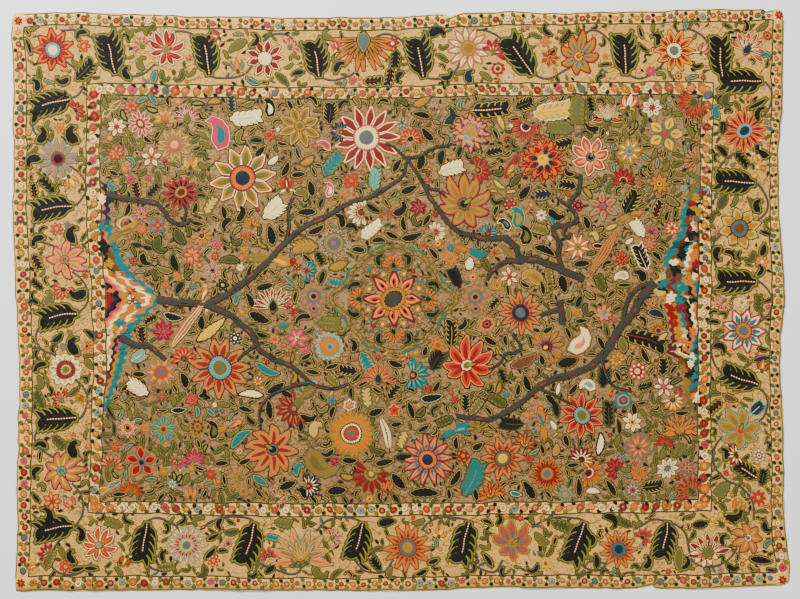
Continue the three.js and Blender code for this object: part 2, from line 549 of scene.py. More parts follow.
def blade(S, base, angle, length, width, fill, edge="", rib="", curl=0.0, peak=0.45, sharp=0.95,
          teeth=0, layer=1, rim=RIM, rib_width=0.0018, core="", core_width=0.46):
    """Petals or leaves from base outwards: outlines first, then the filling, then what is worked
    on it, a smaller drop and a rib."""
    steps = max(7, 3 * teeth + 1)
    t = np.linspace(0, 1, steps)
    shape = profile(t, peak, sharp)
    if teeth:
        shape = shape * (1 - 0.34 * ((t * teeth) % 1))
    spine = spines(base, angle, length, curl, t)
    full = np.broadcast_to(width, len(spine))[:, None]
    width = full * shape
    rims = rim if isinstance(rim, tuple) else (rim,) * len(names(edge))
    top = outlined(S, spine, width, fill, edge, rims, layer)
    if core:
        inside = part_of(spine, 0.08, 0.84, 6)
        drop = profile(np.linspace(0, 1, 6), 0.42, 0.8)
        S.lay(inside, full * core_width * drop, core, top + 1)
    if rib:
        middle = part_of(spine, 0.06, 0.8, 5)
        if "/" in rib:
            checks(S, middle, rib_width, rib.split("/"), top + 2)
        else:
            S.lay(middle, rib_width, rib, top + 2)


def part_of(spine, start, end, steps):
    """A stretch of each spine, from one share of its length to another."""
    place = np.linspace(start, end, steps) * (spine.shape[1] - 1)
    k = np.minimum(place.astype(int), spine.shape[1] - 2)
    part = (place - k)[None, :, None]
    return spine[:, k] * (1 - part) + spine[:, k + 1] * part


def run_along(line):
    """How far along a line each of its points is."""
    return np.concatenate([[0], np.cumsum(np.linalg.norm(np.diff(line, axis=0), axis=1))])


def turns_along(line):
    """The line's direction at each of its points, in radians."""
    along = np.gradient(line, axis=0)
    return np.arctan2(along[:, 1], along[:, 0])


def checks(S, spine, width, pair, layer, each=0.0045):
    """A rib in short stitches of two threads by turns."""
    for line in spine:
        run = run_along(line)
        count = max(3, int(run[-1] / each))
        spots = places_on(line, run, np.linspace(0, run[-1], count + 1))
        parts = np.stack([spots[:-1], spots[1:]], 1)
        for k, thread in enumerate(pair):
            if len(parts[k::2]):
                S.lay(parts[k::2], width, thread, layer)


def places_on(line, run, marks):
    """The places of a line at some marks, when run says how far along its points are."""
    return np.stack([np.interp(marks, run, line[:, k]) for k in (0, 1)], 1)


def round_angles(count, turn=0.0, spread=math.tau):
    """Directions all round, or over part of a turn about the given one."""
    if spread >= math.tau:
        return turn + np.arange(count) * math.tau / count
    return turn + np.linspace(-spread / 2, spread / 2, count)


def petals(S, middle, count, near, far, fill, edge="", rib="", turn=0.0, spread=math.tau,
           full=0.92, **form):
    """A whorl or fan of petals between two distances from the middle."""
    angle = round_angles(count, turn, spread)
    angle = angle + S.random.normal(0, 0.035, count)
    length = (far - near) * (1 + S.random.normal(0, 0.035, count))
    base = np.asarray(middle) + near * heading(angle)
    arc = min(spread, math.tau) * (near + 2 * far) / 3 / max(count - (spread < math.tau), 1)
    rim = form.setdefault("rim", RIM)
    width = max(arc * full - 2 * rim * len(names(edge)), 0.0016)
    blade(S, base, angle, length, width, fill, edge, rib, **form)


def ring(S, middle, radius, width, thread, layer=1, lobes=0, depth=0.0, start=0.0, sweep=math.tau):
    """A round or scalloped row of stitches."""
    steps = max(17, 6 * lobes + 1, int(radius / 0.0016))
    angle = start + np.linspace(0, sweep, min(steps, 97))
    scallop = 1 - np.abs(np.cos(lobes * (angle - start) / 2)) if lobes else 0 * angle
    line = np.asarray(middle) + heading(angle) * (radius * (1 - depth * scallop))[:, None]
    S.lay(line, width, thread, layer)


def beads(S, middle, radius, count, size, thread, layer=1, turn=0.0, spread=math.tau):
    """A row of small round knots along a circle."""
    S.disc(np.asarray(middle) + radius * heading(round_angles(count, turn, spread)), size, thread,
           layer, sides=6)


# Flowers. Each takes its middle c, size r (how far it reaches), direction, number of petals n and
# five threads t: petal, outline, inner petal, ring and heart. The numbers in each are shares of r.


def heart_of(S, c, r, band, heart, layer, dark):
    """A ringed heart with a row of knots."""
    S.disc(c, r, dark, layer)
    S.disc(c, r * 0.9, band, layer + 1, lobes=max(8, int(r / 0.0016)), depth=0.12)
    S.disc(c, r * 0.62, dark, layer + 2)
    S.disc(c, r * 0.55, heart, layer + 3)
    if r > 0.012:
        beads(S, c, r * 0.76, max(8, int(r / 0.0014)), RIM * 0.55, dark, layer + 3)
        beads(S, c, r * 0.3, 6, RIM * 0.6, band, layer + 4)


def wheel(S, c, r, turn, n, t):
    """One whorl of pointed petals, apart from each other, each with a broad drop in it."""
    petal, edge, inner, band, heart = t
    petals(S, c, n, 0.3 * r, r, petal, edge, turn=turn, full=0.96, peak=0.5, sharp=0.85, teeth=2,
           rim=rim_for(r), core=inner, core_width=0.68)
    heart_of(S, c, 0.43 * r, band, heart, 7, outer(edge))


def sun(S, c, r, turn, n, t):
    """Two whorls of flame-like petals round a broad beaded heart."""
    petal, edge, inner, band, heart = t
    petals(S, c, n, 0.36 * r, 0.97 * r, inner, edge, turn=turn + math.pi / n, full=0.8,
           rim=rim_for(r))
    petals(S, c, n, 0.36 * r, r, petal, edge, turn=turn, layer=4, full=0.86, rim=rim_for(r),
           core=inner, core_width=0.3)
    S.disc(c, 0.5 * r, "black", 8, lobes=2 * n, depth=0.1)
    S.disc(c, 0.45 * r, band, 9, lobes=2 * n, depth=0.16)
    S.disc(c, 0.36 * r, "black", 10)
    S.disc(c, 0.31 * r, "coral", 11)
    S.disc(c, 0.2 * r, heart, 12)


def rose(S, c, r, turn, n, t):
    """Scalloped rounds, one on the other."""
    petal, edge, inner, band, heart = t
    rim = rim_for(r)
    S.disc(c, r, outer(edge), 1, lobes=n, depth=0.2, turn=turn, flat=True)
    S.disc(c, r - rim, petal, 2, lobes=n, depth=0.2, turn=turn)
    petals(S, c, n, 0.5 * r, 0.86 * r, inner, turn=turn, full=0.5, layer=3)
    S.disc(c, 0.62 * r, outer(edge), 4, lobes=n, depth=0.1, turn=turn)
    S.disc(c, 0.56 * r, band, 5, lobes=n, depth=0.1, turn=turn)
    heart_of(S, c, 0.36 * r, inner, heart, 6, outer(edge))


def star(S, c, r, turn, n, t):
    """Narrow pointed petals, apart from each other, with a bud between each two."""
    petal, edge, inner, band, heart = t
    petals(S, c, n, 0.3 * r, 0.62 * r, band, outer(edge), turn=turn + math.pi / n, full=0.42,
           peak=0.6, rim=rim_for(r) * 0.7)
    full = 0.9 if n > 6 else 0.64
    petals(S, c, n, 0.24 * r, r, petal, edge, turn=turn, full=full, peak=0.5, sharp=1.0, layer=3,
           rim=rim_for(r), core=inner)
    heart_of(S, c, 0.3 * r, band, heart, 7, outer(edge))


def daisy(S, c, r, turn, n, t):
    """Narrow petals laid on a scalloped round."""
    petal, edge, inner, band, heart = t
    S.disc(c, 0.9 * r, outer(edge), 1, lobes=n, depth=0.16, turn=turn, flat=True)
    S.disc(c, 0.9 * r - rim_for(r), inner, 2, lobes=n, depth=0.16, turn=turn)
    petals(S, c, n, 0.2 * r, r, petal, edge, turn=turn, full=0.5, layer=3, rim=rim_for(r) * 0.8)
    heart_of(S, c, 0.28 * r, band, heart, 8, outer(edge))


def target(S, c, r, turn, n, t):
    """A fringe of small petals, then ring in ring."""
    petal, edge, inner, band, heart = t
    petals(S, c, n, 0.66 * r, r, petal, edge, turn=turn, full=1.0, sharp=0.7, rim=RIM * 0.6)
    S.disc(c, 0.76 * r, outer(edge), 4)
    S.disc(c, 0.7 * r, inner, 5)
    beads(S, c, 0.6 * r, n + 4, RIM * 0.8, outer(edge), 6)
    S.disc(c, 0.52 * r, band, 7, lobes=n, depth=0.1)
    heart_of(S, c, 0.32 * r, petal, heart, 8, outer(edge))


def lily(S, c, r, turn, n, t):
    """Long petals apart from each other that curl towards the flower's direction."""
    petal, edge, inner, band, heart = t
    angle = round_angles(n, turn) + S.random.normal(0, 0.07, n)
    aside = np.sin(angle - turn)
    length = r * (0.86 + 0.14 * np.cos(angle - turn)) * (1 + S.random.normal(0, 0.05, n))
    rim = rim_for(r)
    width = 4.1 * r / n - 2 * rim * len(names(edge))
    blade(S, np.asarray(c) + 0.1 * r * heading(angle), angle, length, width, petal, edge,
          curl=-1.0 * aside, peak=0.56, sharp=0.9, core=inner, core_width=0.58, rim=rim)
    S.disc(c, 0.25 * r, outer(edge), 6, lobes=8, depth=0.15)
    S.disc(c, 0.21 * r, band, 7, lobes=8, depth=0.15)
    S.disc(c, 0.15 * r, heart, 8)
    blade(S, c, turn - 0.9, 0.34 * r, 0.12 * r, "citron", "black", layer=9, rim=rim * 0.7)


def lotus(S, c, r, turn, n, t):
    """Seen from the side: three tiers of upright petals over a banded base."""
    petal, edge, inner, band, heart = t
    foot = np.asarray(c) - 0.5 * r * heading(turn)
    rim = rim_for(r)
    petals(S, foot, n + 2, 0.2 * r, 1.45 * r, petal, edge, turn=turn, spread=3.5, full=1.0, rim=rim,
           core=inner)
    petals(S, foot, n, 0.15 * r, 1.15 * r, inner, edge, turn=turn, spread=2.4, layer=5, full=0.9,
           rim=rim, core=band)
    petals(S, foot, max(n - 2, 3), 0.1 * r, 0.8 * r, band, edge, turn=turn, spread=1.6, layer=9,
           full=0.85, rim=rim, core=heart)
    side = turn + math.pi / 2
    for k, thread in enumerate((outer(edge), heart, band)):
        ring(S, foot + 0.1 * r * heading(turn), 0.42 * r - k * 0.12 * r, 0.12 * r, thread, 13,
             start=side, sweep=math.pi)
    petals(S, foot, 3, 0.05 * r, 0.5 * r, "moss", "citron", turn=turn + math.pi, spread=1.8, layer=12)


def fan(S, c, r, turn, n, t):
    """A pink seen from the side: toothed petals over a green cup."""
    petal, edge, inner, band, heart = t
    foot = np.asarray(c) - 0.55 * r * heading(turn)
    rim = rim_for(r)
    petals(S, foot, n, 0.25 * r, 1.5 * r, petal, edge, turn=turn, spread=3.0, peak=0.66, rim=rim,
           sharp=0.8, full=0.92, core=inner)
    petals(S, foot, max(n - 2, 3), 0.2 * r, 0.95 * r, inner, edge, turn=turn, spread=2.0, peak=0.6,
           sharp=0.8, layer=5, full=0.85, rim=rim, core=band)
    blade(S, foot - 0.3 * r * heading(turn), turn, 0.9 * r, 0.55 * r, heart, "citron+black", "cream",
          peak=0.42, layer=9, rim=rim)


def tulip(S, c, r, turn, n, t):
    """A cup of three petals with curled tips."""
    petal, edge, inner, band, heart = t
    foot = np.asarray(c) - 0.7 * r * heading(turn)
    rim = rim_for(r)
    for side in (-1, 1):
        blade(S, foot, turn + 0.8 * side, 1.7 * r, 0.5 * r, petal, edge, curl=-1.2 * side, layer=1,
              rim=rim, core=inner)
        blade(S, foot, turn + 1.4 * side, 1.1 * r, 0.24 * r, band, edge, curl=1.7 * side, layer=1,
              rim=rim)
    blade(S, foot, turn, 1.7 * r, 0.6 * r, inner, edge, peak=0.5, layer=5, rim=rim, core=band)
    blade(S, foot - 0.2 * r * heading(turn), turn, 0.7 * r, 0.5 * r, heart, "citron", peak=0.4,
          layer=9, rim=rim)


def scales(S, c, r, turn, n, t):
    """Overlapping petals in three rows round an off-centre eye with drops about it."""
    petal, edge, inner, band, heart = t
    eye = np.asarray(c) - 0.12 * r * heading(turn)
    rim = rim_for(r)
    for row, (reach, count) in enumerate(((1.0, n + 3), (0.84, n), (0.7, n - 2))):
        petals(S, eye, count, 0.3 * r, reach * r * 1.02, petal if row % 2 == 0 else inner, edge,
               turn=turn + row * math.pi / count, layer=1 + 3 * row, full=0.95, rim=rim, sharp=0.85,
               core="" if row % 2 == 0 else petal)
    S.disc(eye, 0.5 * r, outer(edge), 10, lobes=8, depth=0.12)
    S.disc(eye, 0.46 * r, inner, 11, lobes=8, depth=0.12)
    petals(S, eye, 7, 0.22 * r, 0.52 * r, band, outer(edge), turn=turn, spread=4.6, layer=12,
           full=0.8, rim=rim)
    S.disc(eye, 0.26 * r, heart, 14)
    S.disc(eye - 0.08 * r * heading(turn), 0.1 * r, "citron", 15)


def shell(S, c, r, turn, n, t):
    """A crescent of stripes by turns, round a small eye."""
    petal, edge, inner, band, heart = t
    foot = np.asarray(c) - 0.5 * r * heading(turn)
    petals(S, foot, n, 0.3 * r, 1.42 * r, petal, outer(edge), turn=turn, spread=3.7, full=0.9,
           peak=0.62, sharp=0.8, rim=rim_for(r), core=inner)
    ring(S, foot, 0.42 * r, 0.2 * r, outer(edge), 5, start=turn - 1.8, sweep=3.6)
    ring(S, foot, 0.42 * r, 0.12 * r, band, 6, start=turn - 1.7, sweep=3.4)
    S.disc(foot, 0.26 * r, outer(edge), 6)
    S.disc(foot, 0.2 * r, heart, 7)


def bells(S, c, r, turn, n, t):
    """A spray of little buds on one stalk."""
    petal, edge, inner, _, heart = t
    foot = np.asarray(c) - 0.8 * r * heading(turn)
    angle = round_angles(n, turn, 1.9)
    S.lay(spines(np.repeat([foot], n, 0), angle, 1.2 * r, 0.3, np.linspace(0, 1, 5)), 0.0014, heart)
    tips = foot + 1.15 * r * heading(angle)
    blade(S, tips, angle, 0.62 * r, 0.4 * r, petal, edge, inner, layer=2, rim=RIM * 0.7)


def floret(S, c, r, turn, n, t):
    """A small flower: one scalloped whorl with a drop in each lobe, and a knot."""
    petal, edge, inner, band, heart = t
    rim = min(RIM, r * 0.14)
    S.disc(c, r, outer(edge), 1, lobes=n, depth=0.42, turn=turn, flat=True)
    S.disc(c, r - rim, petal, 2, lobes=n, depth=0.42, turn=turn)
    if r > 0.011:
        beads(S, c, 0.6 * r, n, 0.12 * r, inner, 3, turn)
    S.disc(c, 0.4 * r, outer(edge), 3)
    S.disc(c, 0.3 * r, band, 4)
    S.disc(c, 0.15 * r, heart, 5)


FLOWERS = {f.__name__: f for f in (wheel, sun, rose, star, daisy, target, lily, lotus, fan, tulip,
                                   scales, shell, bells, floret)}

# Leaves. Each takes its base, direction, length, width, curl and three threads: filling, outline
# and rib.


def leaf_rims(edge, width):
    """Widths of a leaf's outlines: a fine bright line, then a broad fuzzy rim."""
    if len(names(edge)) < 2:
        return (min(0.17 * width, 0.0032),)
    if len(names(edge)) == 3:
        return (min(0.09 * width, 0.0026),) * 3
    return min(0.075 * width, 0.0015), min(0.2 * width, 0.0042)


def leaf(S, base, angle, length, width, curl, t, layer=1):
    """A small leaf: a dark middle, a bright line and a toothed rim."""
    fill, edge, rib = t
    teeth = 0 if length < 0.026 else max(3, min(6, int(length / 0.007)))
    rims = leaf_rims(edge, width)
    blade(S, base, angle, length, width - 2 * sum(rims), fill, edge, rib, curl=curl, peak=0.44,
          sharp=0.7, teeth=teeth, layer=layer, rim=rims, rib_width=0.0016)


def hook(S, base, angle, length, width, curl, t, layer=1):
    """A leaf that curls round on itself like a comma, with a knot in the curl."""
    fill, edge, rib = t
    turn = math.copysign(2.9, curl or 1)
    rims = leaf_rims(edge, width)
    blade(S, base, angle - turn / 5, length * 1.3, width - 2 * sum(rims), fill, edge, rib, curl=turn,
          peak=0.36, sharp=0.75, layer=layer, rim=rims, rib_width=0.0014)
    knob = spines(base, angle - turn / 5, length * 1.3, turn, np.linspace(0, 1, 7))[0, 5]
    S.disc(knob, 0.17 * width, fill, layer + len(rims))


def lobed(S, base, angle, length, width, curl, t, layer=1, lobes=5):
    """A deeply cut leaf: pointed lobes leave the rib in pairs, and the tip hooks over."""
    fill, edge, rib = t
    steps = 17
    t_axis = np.linspace(0, 1, steps)
    hooked = np.clip((t_axis - 0.68) / 0.32, 0, 1) ** 1.4 * math.copysign(1.9, curl or 1)
    way = angle + 0.5 * curl * t_axis**2 + hooked
    step = 1.12 * length / (steps - 1) * heading((way[1:] + way[:-1]) / 2)
    spine = np.asarray(base) + np.concatenate([np.zeros((1, 2)), np.cumsum(step, 0)])
    share = np.linspace(0.07, 0.7, lobes)
    feet = places_on(spine, t_axis, share)
    aim = np.interp(share, t_axis, way)
    space = 0.63 * length / (lobes - 1)
    rims = leaf_rims(edge, 1.5 * space)
    reach = 0.64 * width * (0.62 + 0.38 * profile(np.clip(share + 0.1, 0.02, 0.98), 0.42, 0.8))
    form = dict(layer=layer, rim=rims, peak=0.45, sharp=0.7, teeth=2)
    for side in (-1, 1):
        blade(S, feet, aim + side * 0.9, reach, max(1.12 * space - sum(rims), 0.0012), fill,
              edge, curl=-0.5 * side, **form)
    body = 0.42 * width * profile(np.linspace(0.06, 1, steps), 0.5, 0.55)
    top = outlined(S, spine[None], body, fill, edge, rims, layer)
    if rib:
        part = spine[None, : int(steps * 0.74)]
        if "/" in rib:
            checks(S, part, 0.005, rib.split("/"), top + 2)
        else:
            S.lay(part, 0.0024, rib, top + 2)


def feather(S, base, angle, length, width, curl, t, layer=1):
    """A long leaf or plume of narrow barbs along a quill."""
    fill, edge, rib = t
    t_axis = np.linspace(0, 1, 17)
    spine = spines(base, angle, length, curl, t_axis)[0]
    count = max(7, int(length / 0.0075))
    share = np.linspace(0.12, 0.97, count)
    feet = places_on(spine, t_axis, share)
    way = angle + curl * share**2
    reach = width * 0.62 * profile(np.clip(share, 0.02, 0.98), 0.4, 0.6) + 0.003
    for side in (-1, 1):
        blade(S, feet, way + 0.62 * side, reach, 0.0042, fill, "", curl=-0.4 * side, layer=layer + 1)
        blade(S, feet, way + 0.62 * side, reach * 1.12, 0.0066, outer(edge), "",
              curl=-0.4 * side, layer=layer)
    S.lay(spine, 0.0026, rib or outer(edge), layer + 3)


def paisley(S, base, angle, length, width, curl, t, layer=1):
    """A drop with a hooked tip and a smaller drop inside."""
    fill, edge, rib = t
    turn = math.copysign(2.4, curl or 1)
    rim = min(0.12 * width, 0.0022)
    blade(S, base, angle, length * 1.25, width - 2 * rim * len(names(edge)), fill, edge, curl=turn,
          peak=0.3, sharp=0.7, layer=layer, rim=rim)
    inside = np.asarray(base) + 0.16 * length * heading(angle)
    blade(S, inside, angle, length * 0.72, width * 0.42, rib or outer(edge), fill,
          curl=turn * 0.8, peak=0.35, layer=layer + 3)


LEAVES = {f.__name__: f for f in (leaf, hook, lobed, feather, paisley)}


def plume(S, line, width, threads, strands=18):
    """A long tail: fine strands of many threads side by side, and barbs along both edges."""
    count = len(line)
    share = np.linspace(0, 1, count)
    turn = turns_along(line)
    spread = width * profile(np.clip(share * 0.92 + 0.04, 0, 1), 0.58, 0.8)
    for k in range(strands):
        across = (k + 0.5) / strands - 0.5
        wave = 0.1 * np.sin(share * 9 + 2.1 * k)
        offset = heading(turn + 1.57) * (spread * (across + 0.05 * wave))[:, None]
        S.lay(line + offset, 0.85 * width / strands, threads[k % len(threads)], 15 + k % 2)
    for side in (-1, 1):
        knots = np.arange(2, count - 2, 2)
        foot = line[knots] + heading(turn[knots] + 1.57 * side) * (0.42 * spread[knots])[:, None]
        blade(S, foot, turn[knots] + 0.5 * side, 0.3 * width, 0.003, threads[0], layer=15)


def bird(S, place, length, angle, t, side=1):
    """A perched bird seen from the side: tail, body, wing, head and beak. side is which way up."""
    body, edge, wing, tail, head = t
    place = np.asarray(place)
    along = heading(angle)
    up = heading(angle + side * math.pi / 2)
    rump = place - 0.1 * length * along
    for k, lift in enumerate((-0.16, 0.0, 0.16)):
        blade(S, rump, angle + math.pi + lift, length * (0.62 - 0.08 * abs(k - 1)), 0.1 * length,
              tail, edge, wing, curl=0.5 * side, layer=1)
    blade(S, rump - 0.04 * length * along, angle + 0.2 * side, 0.5 * length, 0.24 * length, body, edge,
          peak=0.45, sharp=0.6, layer=3)
    neck = place + 0.3 * length * along + 0.1 * length * up
    S.disc(neck, 0.085 * length + RIM, edge, 4)
    S.disc(neck, 0.085 * length, head, 6)
    eye = neck + 0.02 * length * up + 0.01 * length * along
    S.disc(eye, RIM, "cream", 7)
    S.disc(eye, RIM * 0.5, "black", 8)
    blade(S, neck + 0.07 * length * along, angle - 0.2 * side, 0.12 * length, 0.05 * length, "orange",
          "black", layer=6, rim=RIM * 0.4)
    shoulder = place + 0.2 * length * along + 0.03 * length * up
    for k in range(3):
        blade(S, shoulder - 0.02 * k * length * up, angle + math.pi - 0.1 * side * k,
              length * (0.42 - 0.08 * k), 0.08 * length, wing, edge, tail, layer=6 + k, rim=RIM * 0.5)
    feet = place - 0.1 * length * up + 0.05 * length * along * np.array([[0], [2.2]])
    S.lay(spines(feet, angle - side * 1.6, 0.14 * length, 0.4 * side, np.linspace(0, 1, 4)), 0.0016,
          "bark", 2)


# Tables of the larger motifs, one to a line. Places and sizes are in pixels of the photograph,
# directions in degrees, anticlockwise from its right.

Flower = namedtuple("Flower", "x y size kind turn count threads")
Leaf = namedtuple("Leaf", "x y length width turn curl kind threads")
Bird = namedtuple("Bird", "x y length turn side threads")
Branch = namedtuple("Branch", "start end points")


def flowers_of(text):
    """Flowers: x, y, size, kind, direction, petals, then five threads: petal, outline, inner
    petal, ring and heart."""
    rows = []
    for line in text.strip().splitlines():
        x, y, size, kind, turn, count, *threads = line.split()
        rows.append(Flower(float(x), float(y), float(size), kind, float(turn), int(count), threads))
    return rows


def leaves_of(text, usual):
    """Leaves: x, y, length, width, direction, curl and kind, then three threads: filling, outline
    and rib. Those without threads have the usual ones."""
    rows = []
    for line in text.strip().splitlines():
        words = line.split()
        rows.append(Leaf(*map(float, words[:6]), words[6], words[7:] or usual.split()))
    return rows


def birds_of(text):
    """Birds: x, y, length, direction, which way up, then threads: body, outline, wing, tail, head."""
    lines = [line.split() for line in text.strip().splitlines()]
    return [Bird(*map(float, words[:5]), words[5:]) for words in lines]


def branches_of(text):
    """Branches: width at the start and the end, then the points."""
    lines = [line.split() for line in text.strip().splitlines()]
    return [Branch(float(words[0]), float(words[1]), pairs(words[2:])) for words in lines]


def patches_of(text):
    """Stretches of a mound, from y to y, and the threads of its bands from the outermost inwards."""
    lines = [line.split() for line in text.strip().splitlines()]
    return [(float(words[0]), float(words[1]), words[2:]) for words in lines]


BORDER_FLOWERS = flowers_of("""
54 50 20 wheel 20 9 orange coral+maroon madder aqua cream
166 50 19 lily 90 9 madder cream+slate coral saffron slate
265 58 18 wheel 0 9 madder cream+maroon crimson cream cream
364 50 21 fan 270 11 orange saffron+maroon black saffron slate
468 48 20 wheel 10 12 cream orange+mauve straw saffron bronze
578 57 21 lily 80 8 saffron coral+maroon teal yellow coral
675 51 20 wheel 0 10 orange yellow+maroon madder cream slate
750 45 13 fan 60 7 coral cream+navy peach cream navy
744 131 20 wheel 10 14 madder peach+coral crimson aqua navy
740 228 21 wheel 15 8 straw navy saffron slate brown
744 331 21 wheel 0 9 cream rose+crimson teal saffron slate
740 431 22 lily 120 7 saffron aqua+slate bronze orange coral
748 538 16 lily 200 7 saffron coral+maroon peach cream olive
708 546 14 fan 100 7 madder cream+maroon crimson coral olive
706 556 10 fan 280 6 cream coral+maroon peach madder olive
98 545 18 lily 60 9 coral cream+maroon orange saffron aqua
187 545 18 wheel 0 16 cream orange+aqua madder straw slate
301 549 21 lotus 90 6 peach straw+slate tan saffron saffron
407 548 22 wheel 90 12 orange saffron+madder madder slate saffron
513 543 21 lily 90 8 coral saffron+bronze teal saffron bronze
619 549 18 wheel 0 11 orange saffron+crimson madder teal navy
58 158 18 wheel 10 13 rose aqua+slate saffron madder black
65 260 20 lily 0 8 peach rose+maroon citron orange slate
65 369 17 rose 0 12 cream orange straw crimson olive
62 471 21 lily 0 9 saffron rose+maroon yellow aqua teal
""")

# Smaller flowers beside the vine
BORDER_BUDS = flowers_of("""
495 49 9 fan 60 6 crimson rose coral cream olive
545 42 6 floret 0 6 orange maroon coral straw madder
550 57 9 star 0 7 madder yellow coral saffron madder
498 69 7 rose 0 8 coral cream navy straw madder
237 67 8 tulip 100 3 teal orange orange straw moss
215 37 7 tulip 160 3 madder peach coral cream moss
704 50 7 tulip 60 3 rose madder peach cream moss
732 456 8 shell 200 7 madder coral cream saffron navy
759 455 7 rose 0 8 aqua teal cream coral madder
719 520 9 fan 120 7 yellow bronze orange cream moss
738 506 8 tulip 60 3 orange maroon saffron straw moss
759 156 7 tulip 300 3 yellow bronze orange cream moss
71 181 8 tulip 300 3 orange maroon yellow cream moss
57 229 7 floret 0 7 coral maroon peach straw madder
61 128 6 floret 0 6 orange madder yellow straw navy
78 108 7 shell 30 7 madder cream coral saffron navy
62 293 8 shell 250 8 coral cream peach saffron maroon
53 501 9 star 0 7 orange madder yellow coral madder
71 504 7 tulip 120 3 rose olive peach straw moss
45 553 7 fan 160 6 crimson rose coral cream olive
34 566 8 tulip 200 3 yellow bronze orange cream moss
66 567 7 floret 0 7 coral cream peach straw madder
125 560 7 tulip 250 3 madder orange saffron cream moss
214 561 7 floret 0 7 coral maroon cream straw navy
335 536 7 fan 30 6 rose cream madder straw olive
441 533 7 tulip 60 3 orange maroon yellow cream moss
546 563 7 floret 0 8 yellow madder orange coral maroon
645 535 7 shell 40 7 coral cream madder saffron navy
292 45 7 fan 40 6 coral cream rose straw olive
393 43 7 floret 0 7 madder straw coral cream teal
337 46 6 tulip 120 3 rose maroon coral cream moss
140 44 7 fan 130 6 coral cream madder straw olive
84 46 7 floret 0 6 coral maroon yellow straw navy
650 72 6 floret 0 7 rose cream coral straw teal
762 262 7 floret 0 7 orange maroon yellow cream navy
722 302 7 fan 230 6 coral cream rose straw olive
762 367 7 tulip 80 3 madder orange saffron cream moss
759 498 8 floret 0 8 coral cream madder straw navy
""")

# Threads of the usual dark leaves, of the border's, which have a broad green rim, and of the
# border's large leaves, whose rib is in short stitches of two threads by turns
DARK_LEAF = "black straw+moss olive"
HALO_LEAF = "black citron+olive+moss olive"
CUT_LEAF = "black citron+olive+moss coral/cream"

# The large cut leaves of the border, from the foot on the vine
BORDER_LEAVES = leaves_of("""
116 74 41 30 103 0.35 lobed
209 75 40 28 97 0.35 lobed
319 78 36 28 98 0.35 lobed
424 77 38 30 100 0.3 lobed
532 75 44 30 122 0.35 lobed
625 74 38 30 90 0.4 lobed
722 77 40 26 92 0.4 lobed
762 81 42 28 182 -0.35 lobed
754 183 38 28 178 -0.35 lobed
756 282 38 28 179 -0.35 lobed
758 385 38 26 163 -0.4 lobed
757 478 26 16 145 0.3 lobed
148 523 40 28 260 -0.5 lobed
255 523 42 28 257 -0.5 lobed
362 523 36 28 260 -0.5 lobed
469 521 42 28 258 -0.5 lobed
585 523 42 28 252 -0.4 lobed
667 522 36 26 264 -0.4 lobed
70 99 38 28 192 0.4 lobed
72 206 38 28 184 0.4 lobed
78 313 38 28 188 0.4 lobed
77 418 38 28 180 0.4 lobed
73 526 38 28 186 0.4 lobed
""", CUT_LEAF)

# Dark leaves of the border that curl round on themselves, by their middles
BORDER_HOOKS = leaves_of("""
77 133 19 14 120 -1 hook
39 135 16 12 60 1 hook
35 164 16 12 200 1 hook
76 235 17 13 100 -1 hook
39 242 14 11 200 1 hook
77 290 17 13 200 -1 hook
46 297 13 11 60 1 hook olive straw+moss citron
78 345 18 14 110 -1 hook
41 369 13 10 200 1 hook
77 449 17 14 100 -1 hook
40 447 12 10 160 1 hook
39 473 13 10 230 1 hook
44 517 20 12 80 0.8 hook
31 117 13 10 90 1 hook
62 78 13 10 200 -1 hook
34 86 12 10 100 1 hook
29 46 16 8 95 0.6 leaf
85 70 26 15 45 0.2 lobed
60 98 17 10 30 0.4 lobed
130 73 13 11 110 -1 hook
82 36 13 9 200 0.6 hook
252 40 14 9 60 0.9 hook
340 68 13 10 60 -1 hook
473 76 13 11 100 -1 hook navy straw+moss navy
447 74 13 9 20 0.6 hook
565 37 16 10 45 0.3 lobed
551 52 11 8 40 0.4 leaf
655 40 14 10 100 0.9 hook
762 115 15 10 80 -1 hook
764 149 16 12 150 -1 hook
757 104 20 9 20 0.4 leaf
723 129 13 10 90 0.2 lobed
720 254 14 11 250 1 hook
763 250 13 11 60 0.5 leaf
760 205 13 11 100 -1 hook
757 270 12 9 70 1 hook
762 359 18 9 10 0.3 leaf navy straw+moss slate
731 398 14 10 -30 0.3 leaf brown straw+moss black
757 408 15 13 40 0.2 lobed navy aqua cream
722 455 12 10 100 1 hook
762 478 16 12 80 0.3 lobed
733 512 20 12 10 0.6 hook
760 560 22 11 -15 0.3 leaf black straw+moss teal
684 563 14 9 60 0.6 hook
725 540 12 9 80 -1 hook
680 560 24 12 260 0.7 leaf olive straw+moss citron
645 562 13 10 60 1 hook
590 540 13 9 100 0.4 hook
487 560 15 9 120 0.3 leaf
433 561 11 9 20 0.3 leaf
364 566 13 7 140 0.3 leaf black straw+moss straw
301 563 26 9 5 0.2 leaf olive moss moss
78 534 14 11 80 0.5 hook
74 556 13 11 120 -1 hook
78 568 13 9 10 0.3 leaf
91 568 13 9 -10 0.3 leaf
48 560 20 12 70 0.3 lobed olive straw+moss moss
214 536 12 9 20 0.3 leaf
211 553 14 10 40 0.3 leaf
165 566 16 9 5 0.3 lobed olive straw+moss moss
125 561 13 8 20 0.3 leaf
""", HALO_LEAF)

